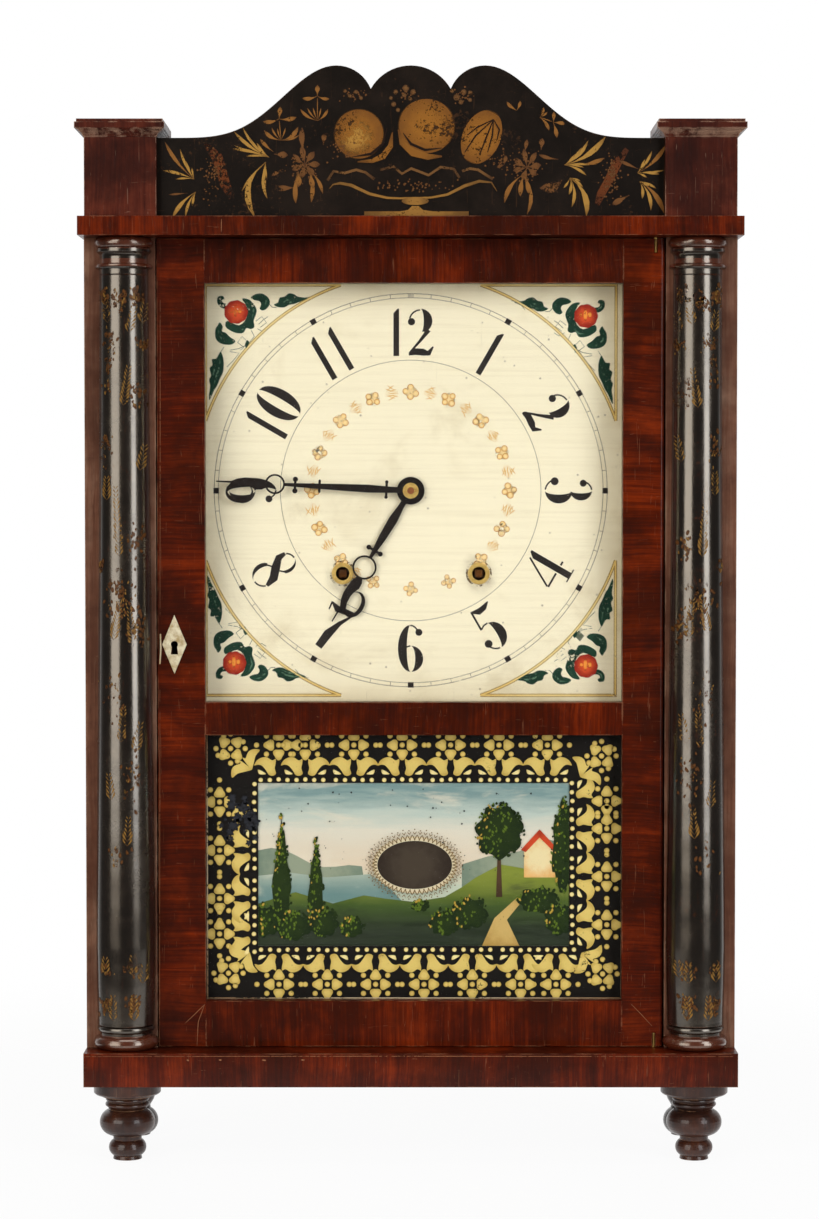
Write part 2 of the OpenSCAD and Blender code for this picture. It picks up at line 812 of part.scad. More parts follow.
// A drum with two flanges, a ratchet in front and a winding arbor with a squared end
module drum(at) {
    teeth = 20;
    ratchet_y = great_y + great_t + 0.3;
    on_movement(at) {
        bar(drum_arbor_r, plate_y - 2, rear_plate_y - 0.5);
        bar(pivot_r, rear_plate_y - 1, rear_plate_back_y);
        block([-2.5, dial_back_y + 1, -2.5], [2.5, plate_y - 1, 2.5]);
        bar(drum_r, drum_y, drum_y + drum_t);
        for (y = [drum_y - flange_t, drum_y + drum_t]) bar(drum_r + 2, y, y + flange_t);
        slab(ratchet_y, ratchet_y + 2.2) polygon([
            for (k = [0:teeth - 1], c = [[10.6, 0], [12.8, 0.95]])
                let (a = 360 / teeth * (k + c[1])) c[0] * [cos(a), sin(a)]]);
    }
}

module going_great_wheel() { color("#a5652f") great_wheel(great_at, second_at, great_y); }

module going_drum() { color("#96602e") drum(great_at); }

module second_wheel() {
    color("#a5652f") on_movement(second_at) {
        arbor(arbor_r);
        bar(arbor_r, layer1_y, plate_back_y + 1);
        pinion(second_pinion_n, great_m, gap_turn(heading(great_at, second_at), second_pinion_n),
               great_y - 0.5, great_y + great_t + 0.5);
        wheel(second_n, second_m, heading(second_at, third_at), rear_wheel_y, rear_wheel_y + wheel_t);
        wheel(link_n, link_m, heading(second_at, centre), layer1_y, layer1_y + layer_t);
    }
}

module third_wheel() {
    color("#a5652f") on_movement(third_at) {
        arbor(thin_arbor_r);
        pinion(third_pinion_n, second_m, gap_turn(heading(second_at, third_at), third_pinion_n),
               rear_wheel_y - 0.5, rear_wheel_y + wheel_t + 0.5);
        wheel(third_n, third_m, heading(third_at, escape_at), middle_wheel_y, middle_wheel_y + wheel_t);
    }
}

module escape_wheel() {
    color("#c9a24e") on_movement(escape_at) {
        bar(wire_r, layer1_y - 1, rear_plate_back_y);
        pinion(escape_pinion_n, third_m, gap_turn(heading(third_at, escape_at), escape_pinion_n),
               middle_wheel_y - 0.5, middle_wheel_y + wheel_t + 0.5);
        slab(layer1_y + 0.6, layer1_y + 2.1) difference() {
            polygon([for (k = [0:escape_n - 1], c = [[escape_r - 2.6, 0], [escape_r, 0.2]])
                let (a = 360 / escape_n * (k + c[1])) c[0] * [cos(a), sin(a)]]);
            for (k = [0:3]) rotate(90 * k + 45) translate([10, 0]) circle(4);
        }
    }
}

// The motion work and the hands

module minute_arbor() {
    color("#8a5a2c") on_movement() {
        bar(centre_r, layer3_y - 1, rear_plate_back_y);
        bar(hand_r, hand_end_y, layer3_y);
        wheel(centre_n, link_m, gap_turn(heading(second_at, centre), centre_n),
              layer1_y, layer1_y + layer_t);
        pinion(minute_pinion_n, motion_m, gap_turn(heading(motion_at, centre), minute_pinion_n),
               layer2_y, layer1_y);
    }
}

module motion_wheel() {
    color("#a5652f") on_movement(motion_at) {
        bar(pivot_r, layer3_y, plate_back_y);
        wheel(motion_n, motion_m, heading(motion_at, centre), layer2_y, layer2_y + layer_t);
        pinion(motion_pinion_n, motion_m, gap_turn(heading(centre, motion_at), motion_pinion_n),
               layer3_y, layer2_y);
    }
}

module hour_wheel() {
    color("#a5652f") on_movement() difference() {
        union() {
            wheel(hour_n, motion_m, heading(centre, motion_at), layer3_y, layer3_y + layer_t - 0.2);
            bar(pipe_r, hour_hand_y - 0.4, layer3_y);
        }
        bar(hand_r + run_fit, hour_hand_y - 1, layer2_y);
    }
}

// Points of an oval
function oval(cx, cy, a, b) = [for (i = [0:47]) [cx + a * cos(7.5 * i), cy + b * sin(7.5 * i)]];

// A cross-bar with round ends
module hand_bar(x, half, end_r) {
    translate([x - 0.8, -half]) square([1.6, 2 * half]);
    for (side = [-1, 1]) translate([x, side * half]) circle(end_r);
}

// The head past the ring: a curved leaf with a needle, and a crescent that closes an open loop
module hand_head(start, needle) {
    polygon([
        [start - 1, -1.2], [start + 3, -2.4], [start + 8, -3.3], [start + 13, -3.4], [start + 18, -2.5],
        [start + 22, -0.7], [start + 22 + needle, -0.4], [start + 22 + needle, 0.4], [start + 22.5, 0.6],
        [start + 25, 3.6], [start + 25.6, 6.4], [start + 24, 6.4], [start + 22.2, 3.8], [start + 18, 2.2],
        [start + 13, 1.9], [start + 9.5, 2.6], [start + 6, 4.2], [start + 2, 4], [start - 1, 2.6]]);
    difference() {
        polygon(oval(start + 16.5, 6.6, 9.1, 6.8));
        polygon(oval(start + 16.5, 5.4, 8, 5.2));
        translate([start + 2, -6]) square([30, 8]);
    }
}

// A pierced hand drawn along +X: a hub ring, a swelling blade with cross-bars, a ring and a head.
// The ring and the bars have their places in shares of the length.
module hand_shape(len, ring_share, ring_r, wide, bars, hub_r) {
    ring_at = ring_share * len;
    wide_at = 0.22 * len;
    circle(hub_r);
    polygon([
         [0, -1.8], [hub_r + 3, -1.9], [wide_at, -wide / 2], [0.36 * len, -0.42 * wide],
         [ring_at - ring_r + 0.8, -1], [ring_at - ring_r + 0.8, 1],
         [0.36 * len, 0.42 * wide], [wide_at, wide / 2], [hub_r + 3, 1.9], [0, 1.8]]);
    difference() {
        translate([ring_at, 0]) circle(ring_r);
        translate([ring_at, 0]) circle(ring_r - 1.2);
    }
    for (b = bars) hand_bar(b[0] * len, b[1], b[2]);
    hand_head(ring_at + ring_r, len - ring_at - ring_r - 22);
}

module hand(len, deg, ring_share, ring_r, wide, bars, hub_r, hole_r, y0) {
    color("#1d1a18") on_movement() difference() {
        slab(y0, y0 + hand_t) rotate(90 - deg) hand_shape(len, ring_share, ring_r, wide, bars, hub_r);
        bar(hole_r, y0 - 1, y0 + 2);
    }
}

module hour_hand() {
    hand(hour_len, hour_deg, 0.587, 8, 6, [[0.458, 4.4, 1.6]], 9.1, pipe_r, hour_hand_y);
}

module minute_hand() {
    hand(minute_len, minute_deg, 0.698, 6.6, 5.2,
         [[0.125, 5, 1.1], [0.469, 3.6, 0.8], [0.594, 3.8, 1.7]], 7, hand_r, minute_hand_y);
}

// A brass washer and a taper pin that hold the minute hand
module hand_pin() {
    color("#c9a24e") on_movement() {
        difference() {
            bar(5.2, minute_hand_y - 0.8, minute_hand_y);
            bar(hand_r, hand_end_y - 1, minute_hand_y + 1);
        }
        difference() {
            translate([-4.4, minute_hand_y - 1.5, 0]) rotate([0, 90, 0]) cylinder(r = 0.7, h = 8.8);
            bar(hand_r, hand_end_y - 1, minute_hand_y + 1);
        }
    }
}

// The strike train

module strike_great_wheel() { color("#a5652f") great_wheel(strike_at, pin_at, great_y); }

module strike_drum() { color("#96602e") drum(strike_at); }

module pin_wheel() {
    color("#a5652f") on_movement(pin_at) {
        arbor(arbor_r);
        bar(centre_r, layer1_y, plate_back_y + 1);
        pinion(second_pinion_n, great_m, gap_turn(heading(strike_at, pin_at), second_pinion_n),
               great_y - 0.5, great_y + great_t + 0.5);
        wheel(second_n, second_m, heading(pin_at, warning_at), rear_wheel_y, rear_wheel_y + wheel_t);
        for (k = [0:9]) rotate([0, 36 * k, 0]) bar(1.2, rear_wheel_y - 4, rear_wheel_y + 1, [24, 0]);
        pinion(count_pinion_n, count_m, heading(pin_at, count_at), layer1_y, layer1_y + layer_t);
    }
}

module warning_wheel() {
    color("#a5652f") on_movement(warning_at) {
        arbor(thin_arbor_r);
        pinion(third_pinion_n, second_m, gap_turn(heading(pin_at, warning_at), third_pinion_n),
               rear_wheel_y - 0.5, rear_wheel_y + wheel_t + 0.5);
        wheel(warning_n, warning_m, heading(warning_at, fly_at), great_y, great_y + wheel_t);
    }
}

// The fan that governs the strike's speed
module fly() {
    color("#a5652f") on_movement(fly_at) {
        arbor(wire_r, wire_r);
        pinion(fly_pinion_n, warning_m, gap_turn(heading(warning_at, fly_at), fly_pinion_n),
               great_y - 0.5, great_y + wheel_t + 0.5);
        rotate([0, 25, 0]) block([-13, great_y + 6, -0.8], [13, rear_wheel_y - 2, 0.8]);
    }
}

// The wheel that counts the blows: a ring with a slot after each hour's count
module count_wheel() {
    color("#a5652f") on_movement(count_at) {
        bar(pivot_r, layer2_y, plate_back_y);
        wheel(count_n, count_m, gap_turn(heading(pin_at, count_at), count_n),
              layer1_y, layer1_y + layer_t);
        slab(layer2_y, layer1_y) difference() {
            circle(20);
            circle(15.5);
            for (hour = [1:12]) rotate(360 / count_n * hour * (hour + 1) / 2)
                translate([17.5, -0.5]) square([4, 1]);
        }
    }
}

// A round wire in the plane of y, from one [x, z] place to another
module wire(from, to, y, r) {
    run = to - from;
    translate([from[0], y, from[1]]) rotate([0, atan2(run[0], run[1]), 0]) cylinder(r = r, h = norm(run));
}

// The hammer: an arbor between the plates, a lifting tail and a wire arm with a head. The arm
// is bent, so that it clears the drum at rest and the plate pillar when it is lifted
module hammer() {
    head = [bell_at[0] - bell_r - head_gap - head_len / 2, bell_at[1]];
    reach = head - hammer_at;
    arm_y = rear_wheel_y - 7;
    color("#8a8580") on_movement(hammer_at) {
        arbor(arbor_r);
        block([0, rear_wheel_y - 4, -1.5], [13, rear_wheel_y - 1.5, 1.5]);
        wire([0, 0], hammer_knee, arm_y, hammer_wire_r);
        translate([hammer_knee[0], arm_y, hammer_knee[1]]) sphere(r = hammer_wire_r + 0.4);
        wire(hammer_knee, reach, arm_y, hammer_wire_r);
        translate([reach[0] - head_len / 2, arm_y, reach[1]]) rotate([0, 90, 0])
            cylinder(r = head_r, h = head_len);
    }
}

// A cast bell, mouth to the back, on a stud from the backboard
module bell() {
    color("#5c5348") on_movement(bell_at) {
        translate([0, bell_y, 0]) rotate([-90, 0, 0]) rotate_extrude() polygon(concat(
            [[3, 0]],
            arc(bell_r - 16, 16, 16, -90, -8, 12),
            [[bell_r, bell_h], [bell_r - bell_wall, bell_h]],
            arc(bell_r - 16, 16, 16 - bell_wall, -8, -90, 12),
            [[3, bell_wall]]
        ));
        bar(3, bell_y - 3, inner_back_y);
        bar(6, bell_y - 3, bell_y);
        bar(9, inner_back_y - 3, inner_back_y);
    }
}

// The escapement and the pendulum

module suspension_stud() {
    color("#6d675e") on_movement(verge_at) {
        bar(2, plate_y, plate_back_y);
        bar(pivot_r, dial_back_y + 0.5, plate_y);
        bar(4, plate_y - 0.8, plate_y);
        bar(2.6, dial_back_y + 0.5, dial_back_y + 1.3);
    }
}

// A bent steel strip with two pallets, and the wire crutch that meets the rod
module verge() {
    drop = norm(verge_at - escape_at);
    collar_r = drop - escape_r - 0.4;
    arm_r = escape_r + pallet_gap;
    color("#7d8085") on_movement(verge_at) difference() {
        union() {
            slab(layer1_y + 0.6, layer1_y + 2.1) {
                circle(collar_r);
                for (side = [-1, 1]) polygon([
                    [0, 2.2], [side * 12.4, -drop + arm_r * cos(34) + 3.4],
                    [side * 11.4, -drop + arm_r * cos(32)],
                    [side * arm_r * sin(29), -drop + arm_r * cos(29)],
                    [side * 9.4, -drop + arm_r * cos(32) + 3], [0, -1.8]]);
            }
            bar(3, layer3_y - 1, layer1_y + 0.3);
            bar(collar_r, layer1_y, layer1_y + 2.1);
            translate([0, layer3_y, -crutch_drop]) cylinder(r = 0.8, h = crutch_drop);
            for (side = [-1, 1])
                bar(0.7, rod_y - 2.4, layer3_y + 0.8, [side * (rod_r + 0.9), -crutch_drop]);
            block([-2.6, layer3_y - 0.8, -crutch_drop - 0.7], [2.6, layer3_y + 0.8, -crutch_drop + 0.7]);
        }
        bar(pivot_r + run_fit, layer3_y - 3, plate_y);
    }
}

module pendulum_rod() {
    color("#8a8580") on_movement(verge_at) difference() {
        union() {
            bar(2.8, rod_y - 1, rod_y + 1);
            translate([0, rod_y, -pendulum_len]) cylinder(r = rod_r, h = pendulum_len);
        }
        bar(pivot_r + run_fit, rod_y - 3, rod_y + 3);
    }
}

// A lens of brass-faced lead
module pendulum_bob() {
    half_t = 5.5;
    lens_r = arc_r(bob_r, half_t);
    edge_deg = asin(bob_r / lens_r);
    color("#c9a24e") on_movement(verge_at) translate([0, rod_y, -pendulum_len]) difference() {
        rotate([-90, 0, 0]) rotate_extrude() polygon(concat(
            arc(0, lens_r - half_t, lens_r, -90, -90 + edge_deg, 10),
            arc(0, half_t - lens_r, lens_r, 90 - edge_deg, 90, 10)
        ));
        cylinder(r = rod_r, h = bob_r + 1);
    }
}

// The weights and their pulleys

module weight(side) {
    color("#3a3836") translate([side * weight_x, weight_y, floor_z]) {
        cylinder(r = weight_r, h = weight_h);
        translate([0, 0, weight_h]) cylinder(r = 1.5, h = 5);
        translate([0, 0, weight_h + 8]) rotate([90, 0, 0]) rotate_extrude()
            translate([4.5, 0]) circle(1.3, $fn = 24);
    }
}

module weight_left() { weight(-1); }

module weight_right() { weight(1); }

// A turned pulley and its axle
module pulley(side) {
    edge = pulley_t / 2;
    color("#96602e") translate([side * pulley_x, weight_y, pulley_z]) {
        rotate([90, 0, 0]) cylinder(r = pivot_r, h = 22, center = true);
        rotate([90, 0, 0]) rotate_extrude() polygon([
            [0, -edge], [pulley_r, -edge], [pulley_r, 1 - edge], [pulley_r - pulley_groove, -0.6],
            [pulley_r - pulley_groove, 0.6], [pulley_r, edge - 1], [pulley_r, edge], [0, edge]]);
    }
}

module pulley_left() { pulley(-1); }

module pulley_right() { pulley(1); }

backboard();
side_left();
side_right();
top_board();
base_board();
stile_left();
stile_right();
column_left();
column_right();
block_left();
block_right();
block_caps();
splat();
feet_front();
feet_rear();
case_rails();
dial_board();
winding_ferrules();
door_stile_left();
door_stile_right();
door_rail_top();
door_rail_middle();
door_rail_bottom();
door_glass();
tablet_glass();
glazing_strips();
escutcheon();
lock_case();
lock_bolt();
hinge_pins();
front_plate();
back_plate();
plate_pillars();
going_great_wheel();
going_drum();
second_wheel();
third_wheel();
escape_wheel();
minute_arbor();
motion_wheel();
hour_wheel();
minute_hand();
hour_hand();
hand_pin();
strike_great_wheel();
strike_drum();
pin_wheel();
warning_wheel();
fly();
count_wheel();
hammer();
bell();
verge();
suspension_stud();
pendulum_rod();
pendulum_bob();
weight_left();
weight_right();
pulley_left();
pulley_right();
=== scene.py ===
"""Pillar and splat shelf clock: its finishes, its painted work and the studio.

The CAD model is the frame. Every CAD node keeps its mesh and gets a procedural
finish, and painted work is added as thin films that sit on the node that carries
them. Sizes are in millimetres and in the frame's axes: X to the right, Y to the
back, Z up.
"""
import functools
import logging
import math
import random
from dataclasses import dataclass, field
from enum import Enum
from typing import Iterable, Sequence

import bpy
from mathutils import Matrix, Vector


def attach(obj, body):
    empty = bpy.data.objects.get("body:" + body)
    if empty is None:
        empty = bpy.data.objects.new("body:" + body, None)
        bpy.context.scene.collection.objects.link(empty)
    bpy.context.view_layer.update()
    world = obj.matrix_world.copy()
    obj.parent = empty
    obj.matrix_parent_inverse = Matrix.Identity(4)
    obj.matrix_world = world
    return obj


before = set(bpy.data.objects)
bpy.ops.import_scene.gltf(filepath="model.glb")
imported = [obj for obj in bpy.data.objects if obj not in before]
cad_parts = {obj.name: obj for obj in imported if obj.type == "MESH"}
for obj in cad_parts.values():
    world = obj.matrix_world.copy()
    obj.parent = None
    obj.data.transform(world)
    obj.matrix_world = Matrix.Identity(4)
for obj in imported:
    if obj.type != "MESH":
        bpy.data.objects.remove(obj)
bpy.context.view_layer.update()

logging.basicConfig(level=logging.INFO, format="%(name)s: %(message)s")
LOG = logging.getLogger("shelf_clock")

Point = tuple[float, float]
Triple = tuple[float, float, float]
Colour = Triple
Socket, Node, Tree = bpy.types.NodeSocket, bpy.types.Node, bpy.types.NodeTree
Sockets = dict[str, Socket]
Piece = bpy.types.Object
MM = 0.001
TURN = 2 * math.pi
FILM = 0.05
# Neighbours in a film differ a little in height, so that none of them lie in one plane.
FILM_STEP = 0.004
FILM_STEPS = 8
DIAL_Z = 438.0
WINDING_HOLES = ((-44.9, 383.4), (44.9, 383.4))
BAND_FADE = 0.4
NODE_STEP = (220, 260)
NODES_A_ROW = 9
NUMBER_RESULTS = ("DISTANCE", "DOT_PRODUCT", "LENGTH")


def srgb(code: str) -> Colour:
    """Turns a display colour, in hexadecimal, into the linear colour that a shader takes."""
    levels = (int(code[at:at + 2], 16) / 255 for at in (0, 2, 4))
    return tuple(v / 12.92 if v <= 0.04045 else ((v + 0.055) / 1.055) ** 2.4 for v in levels)


def hues(codes: str) -> tuple[Colour, ...]:
    """Turns several display colours, parted by spaces, into linear ones."""
    return tuple(srgb(code) for code in codes.split())


class Axis(Enum):
    """The way the grain of a wooden piece runs, as the turn that brings it upright."""

    X = (0.0, math.pi / 2, 0.0)
    Y = (math.pi / 2, 0.0, 0.0)
    Z = (0.0, 0.0, 0.0)


class Body(Enum):
    """The moving bodies that carry painted work."""

    CASE = "case"
    DOOR = "door"


class Graph:
    """A node tree being built, with short names for the nodes that finishes share."""

    def __init__(self, tree: Tree) -> None:
        """Starts on a tree, which it empties."""
        tree.nodes.clear()
        self.tree = tree
        self.shader: Node | None = None

    def node(self, kind: str, *values: object, **settings: object) -> Node:
        """Adds a node.

        Args:
            kind: The node's type, without the words ShaderNode in front.
            *values: Values for its first inputs.
            **settings: The node's own settings.

        Returns:
            The new node.
        """
        made = self.tree.nodes.new("ShaderNode" + kind)
        row, column = divmod(len(self.tree.nodes), NODES_A_ROW)
        made.location = (NODE_STEP[0] * column, -NODE_STEP[1] * row)
        for name, value in settings.items():
            setattr(made, name, value)
        return self.wire(made, *values)

    def feed(self, socket: Socket, value: object) -> None:
        """Links a socket to another one, or sets its value.

        Args:
            socket: The input.
            value: An output to link, a number or a colour.
        """
        if isinstance(value, Socket):
            self.tree.links.new(value, socket)
        elif isinstance(value, tuple) and socket.type == "RGBA":
            socket.default_value = (*value[:3], 1.0)
        else:
            socket.default_value = value

    def wire(self, node: Node, *values: object, **named: object) -> Node:
        """Feeds a node's inputs.

        Args:
            node: The node.
            *values: Values for its first inputs.
            **named: Values for inputs by name, with _ for a space.

        Returns:
            The node.
        """
        for socket, value in zip(node.inputs, values):
            self.feed(socket, value)
        for name, value in named.items():
            self.feed(node.inputs[name.replace("_", " ")], value)
        return node

    def show(self, **named: object) -> None:
        """Feeds the shader's inputs by name, with _ for a space."""
        self.wire(self.shader, **named)

    def math(self, operation: str, first: object, second: object = 0.0,
             third: object = 0.0, clamp: bool = False) -> Socket:
        """Adds a Math node, with clamp to keep the result from 0 to 1."""
        return self.node("Math", first, second, third, operation=operation,
                         use_clamp=clamp).outputs[0]

    def times(self, first: object, second: object) -> Socket:
        """Multiplies two values."""
        return self.math("MULTIPLY", first, second)

    def line(self, value: object, slope: object, start: object, clamp: bool = False) -> Socket:
        """Multiplies a value by slope and adds start."""
        return self.math("MULTIPLY_ADD", value, slope, start, clamp)

    def most(self, first: object, second: object) -> Socket:
        """Gives the higher of two values."""
        return self.math("MAXIMUM", first, second)

    def vector(self, operation: str, *values: object) -> Socket:
        """Adds a Vector Math node and gives its vector or number."""
        made = self.node("VectorMath", *values, operation=operation)
        return made.outputs["Value" if operation in NUMBER_RESULTS else "Vector"]

    def scaled(self, vector: object, scale: Triple) -> Socket:
        """Multiplies a vector by another one."""
        return self.vector("MULTIPLY", vector, scale)

    def parts(self, vector: object) -> list[Socket]:
        """Gives a vector's three numbers."""
        return list(self.node("SeparateXYZ", vector).outputs)

    def mix(self, share: object, first: object, second: object) -> Socket:
        """Adds a Mix node for colours.

        Args:
            share: How much of the second colour shows.
            first: The first colour.
            second: The second colour.

        Returns:
            The mixed colour.
        """
        made = self.node("Mix", data_type="RGBA")
        for index, value in ((0, share), (6, first), (7, second)):
            self.feed(made.inputs[index], value)
        return made.outputs[2]

    def layers(self, colour: object, *coats: tuple[object, object]) -> Socket:
        """Lays colours over another one.

        Args:
            colour: The lowest colour.
            *coats: Each share with the colour that it brings.

        Returns:
            The mixed colour.
        """
        for share, over in coats:
            colour = self.mix(share, colour, over)
        return colour

    def between(self, value: object, low: float, high: float, start: float = 0.0,
                end: float = 1.0) -> Socket:
        """Stretches low..high to start..end, smoothly and clamped."""
        return self.node("MapRange", value, low, high, start, end,
                         interpolation_type="SMOOTHSTEP").outputs[0]

    def ramp(self, value: object, *stops: tuple[float, Colour]) -> Socket:
        """Adds a Color Ramp.

        Args:
            value: The value that picks the colour.
            *stops: Each place on the ramp with its colour.

        Returns:
            The colour.
        """
        made = self.node("ValToRGB", value)
        ramp = made.color_ramp
        while len(ramp.elements) < len(stops):
            ramp.elements.new(1.0)
        for element, (place, colour) in zip(ramp.elements, stops):
            element.position = place
            element.color = (*colour, 1.0)
        return made.outputs[0]

    def noise(self, vector: object, scale: float | Triple, detail: float = 3.0,
              rough: float = 0.55, twist: float = 0.0) -> Socket:
        """Adds a Noise Texture.

        Args:
            vector: Where it is read.
            scale: Waves a metre, the same on all axes or one for each.
            detail: How many finer layers it has.
            rough: How strong the finer layers are.
            twist: How much it is distorted.

        Returns:
            The noise, 0 to 1.
        """
        if isinstance(scale, tuple):
            vector, scale = self.scaled(vector, scale), 1.0
        made = self.wire(self.node("TexNoise"), Vector=vector, Scale=scale, Detail=detail,
                         Roughness=rough, Distortion=twist)
        return made.outputs[0]

    def group(self, tree: Tree, **inputs: object) -> Sockets:
        """Adds a group node and gives its outputs by name."""
        made = self.wire(self.node("Group", node_tree=tree), **inputs)
        return {socket.name: socket for socket in made.outputs}

    def place(self, turn: Triple = (0.0, 0.0, 0.0), source: str = "Object") -> Socket:
        """Adds texture coordinates, turned if asked.

        Args:
            turn: The turn about each axis, in radians.
            source: The output of Texture Coordinate that is read.

        Returns:
            The coordinates.
        """
        read = self.node("TexCoord").outputs[source]
        if not any(turn):
            return read
        return self.wire(self.node("Mapping", read), Rotation=turn).outputs[0]

    def wear(self) -> tuple[Socket, Sockets, Sockets]:
        """Gives the object's coordinates, its marks of age and its worn edges."""
        where = self.place()
        return where, *(self.group(made(), Vector=where) for made in (Effects.age, Effects.edges))

    def relief(self, height: object, depth: float, normal: object = None) -> None:
        """Raises the shader's surface by a height map.

        Args:
            height: The height map, 0 to 1.
            depth: How deep it is, in metres.
            normal: The normal that it starts from, if not the plain one.
        """
        bump = self.wire(self.node("Bump"), Distance=depth, Height=height)
        if normal is not None:
            self.wire(bump, Normal=normal)
        self.show(Normal=bump.outputs[0])


class Effects:
    """The node groups that every finish shares, each made once and read by Vector."""

    @staticmethod
    def start(name: str, outputs: str, **numbers: float) -> tuple[Graph, object, Node]:
        """Starts a group with its sockets.

        Args:
            name: The group's name.
            outputs: The outputs' names, parted by spaces.
            **numbers: The inputs besides Vector, with their starting values.

        Returns:
            The graph, the group's inputs and its last node.
        """
        graph = Graph(bpy.data.node_groups.new(name, "ShaderNodeTree"))
        sockets = [("INPUT", label) for label in ("Vector", *numbers)]
        sockets += [("OUTPUT", label) for label in outputs.split()]
        for way, label in sockets:
            kind = "Vector" if label in ("Vector", "Normal") else "Float"
            made = graph.tree.interface.new_socket(name=label, in_out=way,
                                                   socket_type="NodeSocket" + kind)
            if label in numbers:
                made.default_value = numbers[label]
        given = graph.tree.nodes.new("NodeGroupInput").outputs
        return graph, given, graph.tree.nodes.new("NodeGroupOutput")

    @staticmethod
    @functools.cache
    def grain() -> Tree:
        """Wood grain that runs along Z of the vector that it is given.

        Returns:
            The group, with the outputs Fibre, Figure and Pores.
        """
        graph, given, end = Effects.start("Wood grain", "Fibre Figure Pores", Fineness=1.0)
        read = graph.wire(graph.node("VectorMath", given["Vector"], operation="SCALE"),
                          Scale=given["Fineness"]).outputs[0]
        sway = graph.noise(read, 9.0, 2.0)
        bend = graph.node("CombineXYZ", graph.times(sway, 0.012), graph.times(sway, 0.009))
        moved = graph.vector("ADD", read, bend.outputs[0])
        broad = graph.noise(moved, (95, 95, 5), 3.0, 0.5, 0.6)
        flame = graph.noise(read, (30, 30, 22), 3.0, 0.55, 0.9)
        pores = graph.noise(moved, (1500, 1500, 60), 2.0, 0.6)
        graph.wire(end, Fibre=graph.noise(moved, (620, 620, 14), 6.0, 0.62),
                   Figure=graph.math("ADD", graph.times(broad, 0.45), graph.times(flame, 0.55)),
                   Pores=graph.between(pores, 0.6, 0.7))
        return graph.tree

    @staticmethod
    @functools.cache
    def edges() -> Tree:
        """Worn edges, from where a rounded normal parts from the real one.

        Returns:
            The group, with the outputs Edge and Normal.
        """
        graph, given, end = Effects.start("Worn edges", "Edge Normal", Radius=0.0015)
        soft = graph.wire(graph.node("Bevel", samples=6), Radius=given["Radius"])
        flat = graph.node("NewGeometry").outputs["True Normal"]
        apart = graph.math("SUBTRACT", 1.0, graph.vector("DOT_PRODUCT", soft.outputs[0], flat),
                           clamp=True)
        rubbed = graph.noise(given["Vector"], 46.0, 5.0, 0.7)
        strong = graph.times(apart, graph.between(rubbed, 0.42, 0.66))
        fine = graph.wire(graph.node("Bevel", samples=4), Radius=0.0005)
        graph.wire(end, Edge=graph.between(strong, 0.015, 0.16), Normal=fine.outputs[0])
        return graph.tree

    @staticmethod
    @functools.cache
    def age() -> Tree:
        """Grime, specks and fine scratches of a long life.

        Returns:
            The group, with the outputs Grime, Specks and Scratches.
        """
        graph, given, end = Effects.start("Age", "Grime Specks Scratches")
        where = given["Vector"]
        broad = graph.noise(where, 13.0, 5.0, 0.65, 0.4)
        near = graph.noise(where, 90.0, 4.0, 0.7)
        both = graph.math("ADD", graph.times(broad, 0.65), graph.times(near, 0.35))
        specks = graph.wire(graph.node("TexVoronoi", feature="F1"), Vector=where, Scale=210.0)
        dots = graph.between(specks.outputs["Distance"], 0.2, 0.1)
        pick = graph.between(graph.noise(where, 60.0, 1.0), 0.6, 0.68)
        lines = graph.noise(where, (700, 700, 38), 2.0, 0.5, 1.6)
        across = graph.noise(where, (60, 60, 900), 2.0, 0.5, 1.9)
        graph.wire(end, Grime=graph.between(both, 0.38, 0.68), Specks=graph.times(dots, pick),
                   Scratches=graph.most(graph.between(lines, 0.69, 0.72),
                                        graph.between(across, 0.72, 0.75)))
        return graph.tree

    @staticmethod
    @functools.cache
    def flaking() -> Tree:
        """Where old paint or stencilling still holds.

        Returns:
            The group, with the output Kept. Loss 0 keeps all, and 1 loses most.
        """
        graph, given, end = Effects.start("Flaking", "Kept", Loss=0.4)
        broad = graph.noise(given["Vector"], 34.0, 3.0, 0.6, 0.5)
        fine = graph.noise(given["Vector"], 420.0, 5.0, 0.75)
        both = graph.math("ADD", graph.times(broad, 0.45), graph.times(fine, 0.55))
        over = graph.math("SUBTRACT", both, graph.line(given["Loss"], 0.3, 0.33))
        graph.wire(end, Kept=graph.between(over, -0.015, 0.035))
        return graph.tree


class Finish:
    """A finish that makes its material once. A kind of finish gives its own shading."""

    name: str

    def shade(self, graph: Graph) -> None:
        """Links the finish's textures to the material's shader."""
        raise NotImplementedError

    @functools.cache
    def material(self) -> bpy.types.Material:
        """Gives the material, which is made the first time."""
        made = bpy.data.materials.new(self.name)
        made.use_nodes = True
        graph = Graph(made.node_tree)
        graph.shader = graph.node("BsdfPrincipled")
        graph.node("OutputMaterial", graph.shader.outputs[0])
        self.shade(graph)
        LOG.info("finish %s", self.name)
        return made


